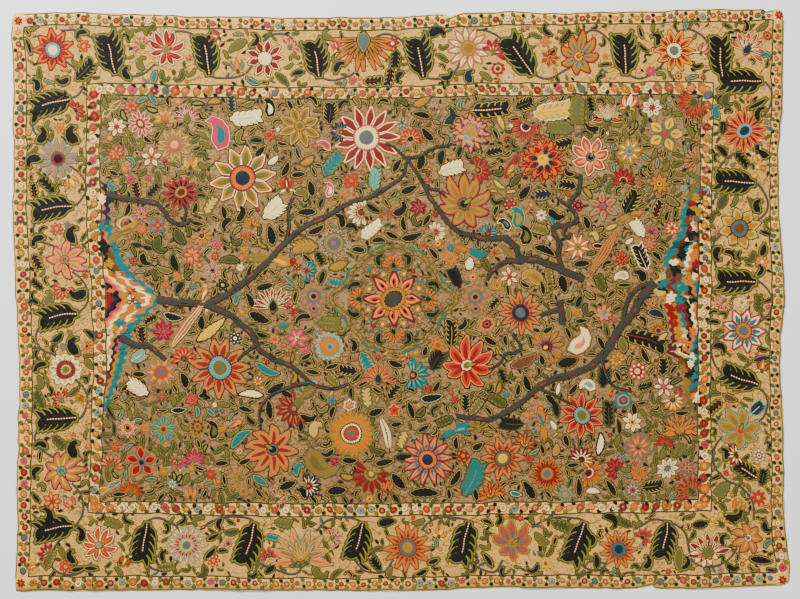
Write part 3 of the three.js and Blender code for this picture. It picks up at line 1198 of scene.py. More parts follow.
# The vine of the border, in lengths between the leaves and flowers
VINE = [pairs(line.split()) for line in """
60,30 75,31 92,38 100,52 104,66 115,73 128,77 145,74 155,65
167,38 178,31 192,34 200,50 202,66 209,75 225,79 243,75 252,66
262,41 276,33 292,38 304,54 308,68 318,77 333,80 348,76 354,72
368,42 384,34 398,38 411,54 414,68 424,76 440,79 456,70 460,62
472,30 488,31 504,44 512,60 520,70 531,74 548,78 562,72 570,68
580,38 592,31 606,36 614,52 616,66 625,73 642,78 657,70 664,62
676,32 690,30 704,38 711,56 713,68 722,75 730,81 745,82 759,80
765,82 771,92 770,104 763,116 752,122
744,150 728,158 718,170 726,182 740,187 756,183 766,196 766,212 754,222
726,231 714,243 714,262 724,278 738,284 757,281 770,294 770,312 758,324
728,334 712,345 714,364 726,378 744,386 760,389 768,402 764,416 754,424
722,437 713,450 714,466 724,478 742,487 752,500 754,520
736,548 728,560 712,566 694,562 688,546 682,530 667,522 650,520 634,528
608,560 600,570 586,568 576,552 572,534 584,522 566,517 548,518 532,528
502,560 494,572 478,568 462,556 456,536 468,521 448,517 432,520 422,530
394,560 384,572 366,570 352,556 350,536 361,522 342,517 326,522 316,532
304,566 296,574 278,570 252,558 244,536 254,522 236,517 214,520 200,530
178,560 168,570 152,568 140,554 137,536 147,522 160,519 174,524 180,530
92,562 80,572 62,574 50,562 60,540 76,526 84,510 80,494 72,484
54,458 40,448 34,436 44,424 62,418 80,418 88,402 84,388 74,378
56,356 42,350 36,336 46,322 62,314 80,311 88,298 84,284 72,272
54,246 38,240 34,226 44,212 60,206 76,204 86,190 82,176 70,166
52,142 38,136 33,122 44,108 60,100 76,96 83,84 76,70 66,62
""".strip().splitlines()]

# Branches of the two trees
BRANCHES = branches_of("""
5 2.6 106,195 126,198 144,201 157,204 165,213 170,221 182,225 191,219
6.4 6 156,300 172,301 190,303 208,304
6 2.2 206,305 224,296 242,285 257,272 270,258 283,244 302,228 328,215 353,202 366,199 385,188 400,179
2.2 1.8 398,181 404,172 407,160
3 1.6 285,242 289,228 288,214 293,198
6 3 206,304 225,313 239,323 251,333 256,343 261,351 279,361 294,368 311,382
3 1.4 309,381 322,387 336,388 350,383
2.6 1.4 311,382 289,388 268,398 259,411 260,430
6 3 120,337 134,345 148,346 158,352 166,360
2.6 4.6 407,158 416,172 425,187 433,203 442,216 453,227 466,234 489,238 508,238
5 6 505,238 516,248 521,257 540,261 559,268 584,280
4.4 2.6 524,261 510,262 499,266 491,272 487,280
4.6 3 562,267 558,254 558,242 553,231 556,226 566,225 576,220 574,212 569,205 573,197 580,190 580,174
3 1.4 570,206 562,202 557,198
3.4 1.6 566,226 563,234 568,237 571,232
5.5 5.5 560,300 561,312 562,325
4.5 2.4 559,309 549,311 540,315
7.5 5.4 655,282 645,293 638,303 632,313 619,328 610,343 600,358 590,367 579,371
5.6 3.4 582,370 566,376 553,379 538,388 521,401 508,410 489,419 474,418 457,416
4 3 650,284 640,286 628,300 622,318
2.4 1.4 513,334 521,345 517,352 507,354 499,364 489,369
2.6 1.4 602,356 606,372 614,386 632,392
2.4 1.4 538,388 556,396 572,404
2.2 1.4 257,344 246,352 238,360
2.2 1.4 425,187 436,190 446,198
2.2 1.4 407,160 396,148 386,144
2.2 1.4 407,158 420,156 434,148 452,144
2.2 1.4 182,225 186,212 183,204
""")

FIELD_FLOWERS = flowers_of("""
243 178 31 wheel 10 10 saffron cream+crimson olive orange navy
367 138 32 wheel 0 13 madder cream+coral crimson cream slate
464 204 28 lily 90 9 saffron coral+maroon bronze olive black
544 163 22 scales 300 10 madder orange+maroon orange navy yellow
590 157 20 lily 110 7 coral cream+maroon peach slate black
220 368 29 wheel 6 11 orange saffron+maroon madder aqua olive
161 372 17 wheel 20 9 mauve saffron+bronze peach coral slate
164 429 15 star 10 9 teal saffron+bronze aqua saffron maroon
128 427 9 wheel 0 8 rose cream+navy peach saffron black
141 462 15 star 90 5 madder peach+coral crimson teal black
273 450 27 lily 200 9 orange saffron+maroon madder slate black
351 434 23 sun 0 12 saffron bronze orange cream slate
427 460 24 wheel 10 13 peach coral teal orange navy
503 458 21 wheel 0 10 orange saffron+maroon madder olive yellow
547 474 17 wheel 10 14 saffron crimson madder saffron slate
594 473 11 shell 0 9 saffron crimson coral cream black
369 480 14 shell 250 9 madder cream+olive crimson saffron yellow
467 366 27 lily 60 9 coral peach+black madder cream olive
520 313 21 wheel 0 12 orange saffron+maroon madder navy slate
581 415 21 wheel 15 10 coral peach+maroon crimson aqua olive
181 193 16 wheel 0 12 madder coral+maroon black saffron maroon
174 145 16 wheel 0 11 straw saffron+bronze tan rose yellow
300 127 20 star 20 8 bronze straw+moss brown saffron olive
140 124 12 wheel 0 11 madder cream+rose coral navy yellow
116 127 9 star 0 7 cream olive peach coral madder
117 154 9 lily 90 7 coral navy peach saffron orange
165 115 9 lotus 90 5 saffron bronze yellow orange coral
187 114 10 fan 90 7 crimson cream rose mauve olive
131 106 7 star 0 7 coral maroon peach saffron madder
152 157 10 star 90 5 cream coral peach saffron madder
191 164 8 tulip 90 3 yellow bronze orange saffron moss
471 131 18 scales 60 9 peach coral+maroon aqua orange saffron
411 135 8 shell 90 8 coral black peach yellow navy
338 131 8 shell 160 8 navy yellow slate saffron saffron
524 131 11 shell 250 9 coral cream+maroon madder cream black
608 113 10 lotus 90 5 madder cream+maroon saffron straw aqua
629 102 9 tulip 80 3 peach madder cream straw moss
652 108 10 star 0 7 cream black navy coral madder
690 106 12 fan 225 8 crimson orange+maroon coral saffron moss
666 134 18 star 70 5 yellow slate bronze olive coral
629 152 13 star 10 8 saffron bronze cream aqua slate
623 177 9 shell 90 8 madder cream coral straw black
659 184 10 star 0 8 saffron madder orange yellow maroon
691 160 9 fan 180 7 saffron mauve orange cream olive
603 207 15 star 90 6 orange aqua+maroon madder coral slate
577 246 13 daisy 20 8 cream mauve+maroon orange saffron olive
334 244 14 target 0 18 slate cream+black saffron slate rose
329 346 14 target 0 16 aqua cream+coral saffron orange slate
314 297 14 rose 90 9 tan aqua+slate orange slate black
314 309 9 rose 270 7 tan aqua+slate orange slate black
475 297 14 rose 90 9 tan aqua+slate orange slate black
475 309 9 rose 270 7 tan aqua+slate orange slate black
273 300 14 fan 90 9 madder cream+maroon crimson coral black
296 339 11 lily 0 6 rose coral peach cream black
288 411 13 shell 200 9 madder aqua+maroon saffron crimson saffron
378 375 11 fan 90 8 coral peach+maroon orange saffron navy
551 343 13 shell 45 10 saffron crimson+maroon mauve crimson yellow
487 325 8 rose 0 7 peach crimson tan crimson black
418 375 12 shell 0 9 teal saffron+navy aqua saffron orange
450 257 9 floret 0 9 orange madder bronze saffron madder
438 345 8 rose 0 8 saffron bronze coral saffron coral
509 204 7 floret 0 6 madder black cream coral coral
541 215 6 floret 0 8 cream slate aqua coral coral
483 170 10 shell 0 8 madder yellow coral saffron saffron
418 207 9 lily 200 6 maroon coral rose coral brown
357 213 10 shell 180 9 cream coral madder peach madder
351 181 9 floret 45 4 coral maroon orange saffron saffron
287 185 8 tulip 100 3 coral maroon madder cream moss
269 135 6 floret 0 8 coral maroon peach coral madder
213 270 9 star 90 6 coral cream+maroon peach slate black
193 254 10 lily 270 8 coral maroon peach orange black
157 225 9 star 45 4 teal orange+maroon saffron coral orange
142 230 5 floret 0 7 orange maroon saffron yellow madder
141 214 7 star 0 8 rose black peach straw black
203 238 8 shell 300 7 saffron madder orange yellow madder
216 245 5 floret 0 6 rose maroon peach saffron coral
245 236 6 star 90 6 coral maroon orange saffron madder
252 223 6 fan 90 6 saffron maroon orange yellow moss
243 250 5 floret 0 5 saffron maroon orange yellow madder
223 285 7 floret 0 6 black citron citron straw navy
241 268 4.5 floret 0 6 cream coral peach orange coral
214 227 6 tulip 100 3 aqua slate orange peach navy
166 285 4 floret 0 6 orange maroon saffron coral madder
177 276 4.5 floret 0 4 orange bronze saffron saffron coral
197 279 4 floret 0 6 saffron maroon orange coral madder
164 331 11 lily 90 7 crimson rose rose coral olive
184 354 9 shell 90 8 coral cream+maroon peach saffron olive
235 338 7 floret 0 7 navy rose cream cream black
274 339 6 floret 0 8 orange maroon peach saffron madder
242 312 4.5 floret 0 5 saffron orange saffron yellow coral
198 427 9 wheel 0 9 saffron bronze maroon saffron brown
191 400 7 star 0 7 coral maroon rose peach madder
161 397 4.5 star 0 6 coral maroon madder peach madder
258 381 5 star 0 7 saffron maroon cream orange coral
146 428 5 floret 45 4 orange bronze saffron orange coral
115 447 5 star 0 6 coral maroon orange peach madder
112 462 8 fan 80 8 peach coral tan coral olive
178 464 6 fan 270 6 rose maroon coral cream moss
195 456 8 shell 90 7 crimson cream+rose rose coral olive
192 468 4 floret 0 8 saffron bronze orange yellow coral
163 472 5 star 0 8 saffron bronze orange yellow coral
132 489 8 fan 80 9 madder orange coral orange olive
211 474 6 floret 0 8 coral cream madder peach madder
237 477 9 shell 160 7 saffron bronze teal saffron olive
243 492 6 floret 45 4 saffron orange coral coral orange
280 498 7 fan 10 6 madder cream rose cream moss
190 493 7 tulip 90 3 peach maroon orange saffron moss
172 485 5 star 0 8 aqua slate cream peach slate
313 485 9 shell 10 9 navy rose+maroon cream rose orange
335 461 5 rose 0 5 madder crimson rose crimson rose
394 410 7 rose 20 5 peach madder coral coral madder
388 486 6 tulip 90 3 saffron madder orange coral maroon
463 456 7 rose 0 5 madder maroon saffron crimson saffron
479 425 8 fan 90 8 saffron olive bronze straw bronze
490 490 9 lotus 100 5 orange madder+maroon saffron coral yellow
525 440 9 lotus 80 5 madder olive+maroon saffron coral yellow
529 459 4.5 star 0 7 coral maroon madder coral crimson
565 494 7 target 0 14 aqua slate tan saffron saffron
584 455 10 shell 60 9 crimson black cream cream crimson
632 422 10 star 10 7 cream olive straw yellow madder
638 448 14 lily 90 9 tan coral+teal peach coral navy
664 441 7 fan 90 9 madder coral coral saffron moss
680 425 12 lotus 90 6 orange saffron+maroon orange saffron orange
639 473 9 star 0 8 orange saffron coral saffron slate
668 468 11 star 0 9 cream black tan slate slate
687 468 8 star 0 8 coral aqua+maroon madder peach navy
633 490 8 star 0 10 madder aqua cream coral crimson
688 488 11 fan 135 8 crimson orange+maroon madder coral moss
613 467 8 shell 150 7 madder peach+maroon coral coral moss
664 387 10 star 0 6 cream mauve+maroon peach rose mauve
623 401 9 target 0 12 teal crimson aqua crimson coral
638 372 9 rose 0 9 coral crimson cream madder peach
679 392 5 tulip 120 3 crimson maroon coral rose moss
675 403 8 shell 300 8 peach saffron cream straw olive
617 359 8 star 0 8 saffron maroon yellow orange teal
604 314 9 lily 90 7 peach coral+maroon aqua cream coral
576 312 4.5 floret 0 8 saffron bronze orange orange coral
497 286 7 star 45 4 saffron black orange yellow maroon
495 253 5 star 0 6 saffron maroon orange coral madder
439 231 7 shell 30 7 cream orange+maroon peach saffron coral
388 216 6 bells 90 5 coral maroon peach rose brown
404 359 6 tulip 200 3 saffron maroon coral yellow madder
621 258 7 star 0 9 coral madder orange madder coral
649 243 7 rose 0 8 coral maroon peach tan slate
672 228 7 star 0 8 peach coral+maroon cream orange madder
578 205 6 rose 0 5 maroon crimson rose black olive
509 277 9 star 90 6 cream peach+maroon aqua coral moss
296 267 4 floret 45 4 crimson maroon cream crimson cream
424 246 4 floret 0 5 coral maroon peach coral madder
332 400 4 floret 0 5 teal navy aqua teal navy
307 352 4 floret 0 5 rose maroon peach rose coral
428 388 4 tulip 90 3 madder maroon coral coral moss
""")

# Leaves of the field, by their middles
FIELD_LEAVES = leaves_of("""
246 117 32 18 5 0.2 lobed cream black saffron
270 108 18 13 60 1.2 paisley black straw+moss cream
219 134 32 20 70 1 paisley rose cream+bark teal
260 151 15 10 40 0.3 leaf
285 170 16 10 60 0.3 leaf
273 160 14 8 30 0.4 leaf cream black olive
330 113 20 17 90 0.2 lobed black straw+moss madder
325 144 14 9 120 0.6 paisley rose cream+maroon coral
422 101 18 11 20 0.3 leaf saffron olive+moss bronze
421 115 18 10 160 0.3 leaf black straw+moss maroon
446 115 18 11 60 1 hook navy straw+moss navy
490 109 38 17 5 0.2 lobed black straw+moss coral/cream
331 164 26 15 50 0.3 lobed teal citron+moss madder
374 180 22 14 80 0.3 lobed aqua olive+moss moss
330 190 14 9 60 0.6 paisley rose cream+maroon cream
311 188 16 11 100 0.3 leaf
397 165 15 10 60 -0.3 leaf
421 161 18 12 70 0.2 leaf black straw+moss straw
409 189 18 11 20 0.2 leaf black straw+moss straw
451 169 26 16 15 0.2 lobed cream black maroon
553 111 36 18 5 0.2 lobed yellow navy+cream saffron
578 109 28 17 265 0.2 lobed olive citron+moss teal
560 128 24 14 180 -0.2 lobed olive citron+moss teal
524 104 20 15 20 0.3 lobed
512 164 28 9 240 0.2 feather crimson coral madder
271 235 19 13 95 0.2 leaf black straw+moss coral
273 210 26 19 40 0.2 lobed cream black saffron
237 213 17 10 70 0.9 hook
229 225 15 9 230 0.9 hook
265 286 18 11 10 0.3 leaf
250 271 15 7 60 0.2 leaf black straw+moss straw
197 223 13 8 -10 0.3 leaf
166 212 8 6 30 0.3 leaf
291 257 15 6 80 0.4 leaf teal saffron+navy saffron
290 280 19 5 130 0.3 leaf teal saffron aqua
307 212 19 11 175 0.3 leaf
316 229 18 10 20 0.7 leaf
338 222 15 10 100 0.9 hook
371 229 26 13 35 0.3 lobed cream olive straw
393 235 14 9 -30 0.2 leaf
413 236 22 11 5 0.5 leaf black straw+moss coral
305 247 24 16 185 0.3 lobed saffron olive+moss olive
338 266 19 12 15 0.3 leaf saffron olive+moss bronze
469 263 13 11 60 0.5 leaf cream black olive
455 278 20 13 110 0.3 lobed black bark black
519 219 21 14 60 0.5 paisley teal straw+olive saffron
505 224 14 10 100 0.8 paisley black cream+bark slate
525 236 18 14 60 0.9 paisley
545 251 23 11 -10 -0.7 leaf
509 253 26 7 -45 0 feather bronze brown bronze
598 246 11 8 0 0.3 leaf black cream+madder coral
611 227 13 8 15 0.3 leaf straw black+olive straw
586 222 14 10 100 0.4 leaf
638 229 19 14 120 0.2 lobed cream black cream
641 257 24 15 110 0.2 lobed black cream cream
630 203 25 18 60 0.3 lobed
629 241 9 7 30 0.3 leaf cream black straw
622 276 14 10 150 0.9 paisley cream black straw
638 277 14 11 120 1 hook
534 277 20 15 120 0.8 paisley saffron straw+black bronze
542 287 15 8 100 0.2 leaf
582 264 16 11 0 0.2 leaf black straw+moss straw
625 285 14 7 5 0.2 leaf
211 330 33 13 38 0.1 leaf yellow straw+black navy
173 316 19 11 -20 0.3 leaf black cream+moss olive
138 357 16 13 30 0.3 lobed aqua straw+navy cream
139 374 13 9 0 0.2 leaf black straw+moss teal
137 388 22 17 150 0.2 lobed cream orange+black orange
125 387 12 8 40 0.3 leaf
268 369 26 11 -35 0.6 leaf teal straw+moss cream
260 317 22 14 -30 0.4 leaf
284 325 11 7 10 0.3 leaf teal olive aqua
251 394 23 10 175 0.2 leaf cream straw+black madder
201 393 11 8 40 1 hook
208 394 11 8 140 -1 hook
276 388 19 12 20 0.5 leaf
288 395 13 10 -30 0.3 leaf
329 323 20 16 0 0.2 lobed olive citron+moss citron
425 351 10 9 80 0.2 leaf black straw+moss straw
395 364 15 10 -20 0.2 leaf
436 360 20 18 60 0.2 lobed black olive+moss moss
451 333 27 14 85 0.4 lobed black straw+moss straw
461 323 12 9 40 1 hook
474 333 15 8 -20 0.2 leaf olive straw+moss citron
491 341 14 10 -30 0.3 leaf
432 397 21 12 0 0.3 leaf black cream+moss black
436 386 12 9 60 0.2 leaf
306 357 12 8 20 0.6 leaf
332 366 14 8 10 0.5 leaf
313 372 14 8 170 0.3 leaf
351 345 12 9 80 0.9 hook
357 377 13 7 45 0.2 leaf
568 362 21 14 10 0.3 leaf black saffron+moss olive
524 360 28 13 15 0.7 leaf brown peach+bark coral
542 360 12 9 100 0.2 leaf
622 344 16 13 95 0.2 leaf olive straw+black moss
645 342 42 18 -15 -0.6 lobed black straw+moss coral
580 343 26 19 20 0.8 paisley cream straw+coral+moss peach
663 336 11 7 30 0.2 leaf straw black saffron
604 377 18 15 80 0.2 lobed black olive+moss black
618 376 11 8 110 0.3 leaf
588 385 16 12 140 0.9 paisley cream black aqua
645 386 15 11 10 0.3 lobed
558 389 12 6 80 0.2 leaf cream bark straw
573 389 13 9 50 0.3 leaf
550 400 14 11 120 0.5 leaf
600 343 13 9 110 0.2 leaf
581 321 12 8 0 0.2 leaf
547 329 11 9 20 0.3 leaf
568 315 11 8 80 0.2 leaf olive straw+moss citron
242 438 27 11 60 -1 leaf teal straw+moss rose
261 481 17 10 -40 0.3 leaf teal straw+moss rose
269 410 20 11 92 0.1 leaf black straw+moss coral
245 409 14 9 -15 0.2 leaf black straw+moss coral
214 430 18 12 60 0.9 paisley
222 463 13 9 0 0.3 leaf
245 461 13 9 15 0.3 leaf
288 485 17 12 20 0.2 leaf black straw+moss madder
224 479 11 7 90 0.2 leaf
259 494 12 7 -60 0.5 leaf
111 413 15 6 -60 0.2 leaf black olive+moss black
114 429 11 5 90 0.2 leaf black olive+moss black
179 410 14 9 0 0.2 leaf black cream+moss black
120 494 14 8 0 0.2 leaf
320 463 36 21 -75 1.2 paisley bronze slate+moss olive
386 436 34 13 95 0.4 feather cream black black
411 410 17 10 100 0.2 leaf black straw+moss coral
376 412 15 11 20 0.2 leaf
350 461 15 10 0 0.2 leaf
384 462 17 11 5 0.2 leaf
337 491 19 13 5 0.2 leaf black straw+moss madder
399 481 20 13 -55 0.2 leaf black straw+moss coral
403 456 17 10 5 0.3 leaf black olive+moss black
425 493 29 13 0 0.1 leaf black straw+moss coral
472 478 36 20 65 0.2 lobed teal olive+moss citron
455 478 17 11 60 0.2 leaf
478 446 12 10 30 0.3 leaf
397 424 11 9 0 0.3 leaf
424 428 12 9 20 0.3 leaf
476 494 12 9 100 0.3 leaf
449 494 11 8 90 0.3 leaf
301 494 12 10 120 1 hook
463 428 18 10 -50 0.1 leaf teal citron+bark aqua
600 444 21 10 80 0.4 leaf cream olive+black straw
608 414 25 11 85 0.2 lobed black olive+moss olive
512 424 22 14 170 0.2 lobed black bark olive
652 485 20 15 10 0.2 lobed black straw+moss citron
528 490 20 13 115 0.3 leaf black straw+moss coral
579 487 18 10 90 0.1 leaf black straw+moss cream
593 492 14 8 5 -0.5 leaf cream bark straw
611 488 19 10 110 0.4 leaf black straw+moss coral
515 494 11 8 -20 0.3 leaf teal cream+bark aqua
553 425 10 7 120 0.2 leaf cream olive straw
556 450 12 10 60 0.6 leaf saffron straw+maroon madder
573 464 12 8 0 0.2 leaf
567 441 12 9 -70 0.2 leaf
542 449 10 8 100 0.2 leaf
634 409 12 9 100 0.2 leaf
618 427 15 6 95 0.2 leaf black olive olive
682 412 14 8 0 0.2 leaf
678 451 14 11 60 0.2 lobed olive citron+moss black
554 407 20 10 100 0.3 leaf black olive+moss black
""", DARK_LEAF)

# Birds and the two beasts
BIRDS = birds_of("""
126 231 34 25 1 saffron bronze olive bronze saffron
140 245 22 160 1 black lime black black black
278 262 44 345 1 saffron bronze yellow bronze madder
464 248 38 160 1 bronze moss orange teal teal
512 166 20 230 1 yellow bronze saffron crimson saffron
205 294 26 70 1 saffron black cream orange yellow
308 394 42 40 1 olive moss bronze olive aqua
460 430 30 20 1 teal navy aqua teal teal
540 420 34 110 -1 orange maroon teal saffron orange
231 424 26 30 -1 peach coral teal saffron peach
114 108 22 30 1 olive cream bronze olive coral
112 486 24 20 1 slate cream olive saffron slate
634 216 24 10 1 saffron bronze coral saffron orange
""")

# Long tails of the two large birds, and their threads
PLUMES = branches_of("""
9 9 206,299 198,309 188,322 180,335 172,347
10 10 591,276 595,266 602,255 609,244 616,231
""")

PLUME_THREADS = ("orange coral teal saffron straw cream".split(),
                 "tan peach saffron olive coral".split())

# The stepped mounds that the trees grow from: how far each reaches from its side of the field at
# places along it, in pixels
LEFT_MOUND = pairs("""
178,0 186,6 200,9 214,6 226,10 240,12 252,17 264,20 276,30 284,40 292,48 300,53 308,46 318,36 328,28
338,23 350,20 362,17 374,13 386,9 400,6 415,0
""".split())
RIGHT_MOUND = pairs("""
172,0 186,7 200,13 212,16 230,17 243,25 252,32 264,33 275,38 285,45 295,40 303,31 320,28 338,25
352,31 360,19 375,14 400,10 425,0
""".split())

LEFT_PATCHES = patches_of("""
180 224 navy orange madder straw
220 250 teal orange maroon rose saffron madder
246 276 teal brown moss black saffron cream rose
272 334 teal orange cream orange saffron cream peach rose black navy madder
330 354 teal rose navy saffron cream madder black
350 380 teal saffron maroon cream olive rose
376 402 teal orange brown saffron madder
398 415 teal aqua navy
""")

RIGHT_PATCHES = patches_of("""
174 204 olive bronze teal black
200 228 teal madder cream orange black teal
222 248 teal crimson cream peach teal black
243 274 teal brown black teal cream orange
268 302 straw black olive crimson teal saffron brown black orange teal
297 334 madder saffron teal crimson black cream orange teal
329 364 maroon straw cream black orange teal navy
359 396 bronze brown black teal orange
391 425 olive maroon teal
""")


class Plot:
    """Which parts of the cloth are taken, as circles, so that small motifs find room."""

    CAPACITY = 40000

    def __init__(self):
        self.x, self.y, self.r = np.empty((3, self.CAPACITY))
        self.count = 0
        self.anchors = []

    def take(self, middles, radius):
        """Marks circles of one radius as taken."""
        for x, y in np.atleast_2d(middles):
            self.x[self.count], self.y[self.count], self.r[self.count] = x, y, radius
            self.count += 1

    def room(self, x, y):
        """How far a place is from the nearest taken circle."""
        n = self.count
        return float(np.min(np.hypot(self.x[:n] - x, self.y[:n] - y) - self.r[:n]))

    def root(self, x, y):
        """The nearest stalk or flower that a new leaf can spring from."""
        points = self.roots
        k = int(np.argmin((points[:, 0] - x) ** 2 + (points[:, 1] - y) ** 2))
        return points[k]

    def settle(self):
        """Gathers the places that new leaves can spring from."""
        self.roots = np.concatenate([np.atleast_2d(a) for a in self.anchors])


def leaf_foot(row, share):
    """Where a leaf of the tables starts, when its place is given as that share of its length."""
    way = math.radians(row.turn) + row.curl * share / 2
    return at(row.x, row.y) - share * row.length * PX * heading(way)


def leaf_line(row, share):
    """Points along a leaf of the tables, from its foot to its tip."""
    t = np.linspace(0, 1, 7)
    return spines(leaf_foot(row, share), math.radians(row.turn), row.length * PX, row.curl, t)[0]


def take_leaf(plot, row, share):
    """Marks a leaf as circles along its curve."""
    line = leaf_line(row, share)
    plot.take(line, row.width * PX * 0.42)
    plot.anchors.append(line[:1])


def inside_line(line, x, y, margin):
    """True inside a line round the cloth, by that margin, all in pixels."""
    return (side_at(line, "left", y) + margin < x < side_at(line, "right", y) - margin
            and side_at(line, "top", x) + margin < y < side_at(line, "bottom", x) - margin)


def in_field(x, y, margin):
    """True inside the field."""
    return inside_line(FIELD_LINE, x, y, margin)


def in_border(x, y, margin):
    """True between the guard line and the border's inner line."""
    return inside_line(GUARD_LINE, x, y, margin) and not inside_line(BORDER_LINE, x, y, -margin)


def chances_of(text):
    """Small leaves: how common each is, then its threads: filling, outline and, with some, rib."""
    lines = [line.split() for line in text.strip().splitlines()]
    return [(int(share), fill, edge, "".join(rib)) for share, fill, edge, *rib in lines]


# Small leaves and flowers between the named ones
SMALL_LEAVES = chances_of("""
46 black straw+moss
14 black citron+moss
12 moss citron+black
8 black straw+moss madder
7 olive straw+black
4 straw black+olive
3 navy straw+moss
4 teal straw+moss
2 saffron black+moss
""")
GREEN_LEAVES = chances_of("""
12 moss citron+moss
10 olive citron+moss
8 black straw+moss
4 teal straw+moss
3 citron moss+black
""")
BORDER_SPRIGS = chances_of("""
10 black citron+moss
10 moss citron+moss
7 olive citron+moss
4 black straw+moss madder
2 teal straw+moss
""")
SMALL_FLOWERS = [line.split() for line in """
coral maroon peach straw navy
madder black coral saffron black
orange maroon saffron yellow madder
saffron bronze orange coral olive
saffron maroon madder straw navy
madder maroon peach coral slate
coral maroon madder orange slate
peach maroon coral straw maroon
crimson black saffron peach slate
teal black aqua coral madder
orange bronze madder peach saffron
cream maroon coral peach saffron
rose maroon mauve coral crimson
aqua navy peach coral navy
""".strip().splitlines()]


def pick(rng, table):
    """One row of a table whose first column says how common it is."""
    weights = np.array([row[0] for row in table], float)
    return table[rng.choice(len(table), p=weights / weights.sum())][1:]


def small_flower(S, middle, size, turn):
    """A small flower of a kind that suits its size."""
    rng = S.random
    threads = SMALL_FLOWERS[rng.integers(len(SMALL_FLOWERS))]
    if size < BLOOM_FROM:
        kind = ("floret", "floret", "tulip", "floret", "rose")[rng.integers(5)]
    else:
        kind = ("floret", "star", "rose", "fan", "tulip", "shell", "lotus", "wheel")[rng.integers(8)]
    count = int(rng.integers(6, 9))
    FLOWERS[kind](S, middle, size, turn, count, threads)


def tendril(S, start, end, thread, width=FINE_ROW):
    """A thin curved stalk between two places."""
    start, end = np.asarray(start), np.asarray(end)
    gap = end - start
    side = np.array([-gap[1], gap[0]]) * S.random.uniform(-0.45, 0.45)
    middle = (start + end) / 2 + side
    t = np.linspace(0, 1, 7)[:, None]
    S.lay((1 - t) ** 2 * start + 2 * t * (1 - t) * middle + t**2 * end, width, thread, 0)


def grow(S, plot, box, inside, tries, least, most, flowers, hooks, leaves=SMALL_LEAVES):
    """Small motifs wherever there is room for them, each sprung from the nearest stalk."""
    rng = S.random
    x0, y0, x1, y1 = box
    spots = rng.uniform((x0, y0), (x1, y1), (tries, 2))
    for px, py in spots:
        if not inside(px, py, least / PX * 0.9):
            continue
        x, y = at(px, py)
        room = plot.room(x, y)
        if room < least:
            continue
        size = min(room, most)
        S.change_lot()
        root = plot.root(x, y)
        away = math.atan2(y - root[1], x - root[0])
        turn = away + rng.normal(0, 0.7)
        middle = np.array([x, y])
        if rng.random() < flowers:
            small_flower(S, middle, size * 0.95, turn)
            foot = middle
            plot.take(middle, size)
        else:
            fill, edge, rib = pick(rng, leaves)
            length = size * rng.uniform(1.9, 2.3)
            width = length * rng.uniform(0.52, 0.74)
            curl = rng.choice((-1, 1)) * rng.uniform(0.2, 1.0)
            if size < RIB_FROM:
                edge = outer(edge)
                rib = ""
            foot = middle - heading(turn + curl / 6) * length / 2
            if size > LOBED_FROM and rng.random() < 0.5:
                lobed(S, foot, turn, length, width, curl * 0.3, (fill, edge, rib), lobes=4)
            elif size > HOOK_FROM and rng.random() < hooks:
                hook(S, foot, turn, length, width, curl, (fill, edge, ""))
            else:
                leaf(S, foot, turn, length, width, curl, (fill, edge, rib))
            way = heading(turn)
            for share in (-0.5, 0, 0.5):
                plot.take(middle + way * length * 0.5 * share, size * 0.72)
        if math.dist(foot, root) < STALK_REACH * PX and size > STALK_FROM:
            tendril(S, root, foot, "moss")


def scatter(S, plot, box, inside, tries, gap, draw):
    """Calls draw for each free place that has that much room, and takes it."""
    x0, y0, x1, y1 = box
    for px, py in S.random.uniform((x0, y0), (x1, y1), (tries, 2)):
        if not inside(px, py, gap / PX):
            continue
        x, y = at(px, py)
        if plot.room(x, y) < gap:
            continue
        draw(np.array([x, y]))
        plot.take(np.array([x, y]), gap)


def squiggles(S, box, inside, count, threads, width=FINE_ROW):
    """Short wandering rows that fill the ground between the motifs."""
    rng = S.random
    x0, y0, x1, y1 = box
    places = rng.uniform((x0, y0), (x1, y1), (count * 2, 2))
    places = np.array([p for p in places if inside(*p, 3)])[:count]
    steps = 7
    kinds = rng.integers(len(threads), size=len(places))
    for k, thread in enumerate(threads):
        mine = at(*places[kinds == k].T)
        turn = rng.normal(0, 0.5, len(mine)) + rng.integers(2, size=len(mine)) * math.pi
        bend = rng.uniform(-2.6, 2.6, len(mine))
        wave = rng.uniform(0.5, 1.3, len(mine))
        s = np.linspace(0, 1, steps)
        way = turn[:, None] + bend[:, None] * s + wave[:, None] * np.sin(s * 9 + bend[:, None])
        length = rng.uniform(0.02, 0.05, len(mine))
        step = heading(way) * (length / steps)[:, None, None]
        S.lay(mine[:, None] + np.cumsum(step, 1), width, thread, 0)


def put_flower(S, row):
    """A flower of the tables. A single pale outline gets a dark one round it."""
    S.change_lot()
    petal, edge, *rest = row.threads
    if "+" not in edge and edge not in DARK:
        edge += "+maroon" if petal in ("madder", "coral", "orange", "peach", "crimson") else "+bark"
    FLOWERS[row.kind](S, at(row.x, row.y), row.size * PX, math.radians(row.turn), row.count,
                      [petal, edge, *rest])


def put_leaf(S, row, share):
    """A leaf of the tables, placed by its foot (share 0) or its middle (share 0.5)."""
    S.change_lot()
    LEAVES[row.kind](S, leaf_foot(row, share), math.radians(row.turn), row.length * PX,
                     row.width * PX, row.curl, row.threads)


# Bands


def line_path(line, side, count=140):
    """A stitched line along one side, corner to corner, in metres."""
    low, high = ("left", "right") if side in ("top", "bottom") else ("top", "bottom")
    corner = 0 if side in ("top", "left") else -1
    along = np.linspace(line[low][corner, 1], line[high][corner, 1], count)
    across = side_at(line, side, along)
    if side in ("top", "bottom"):
        return at(along, across)
    return at(across, along)


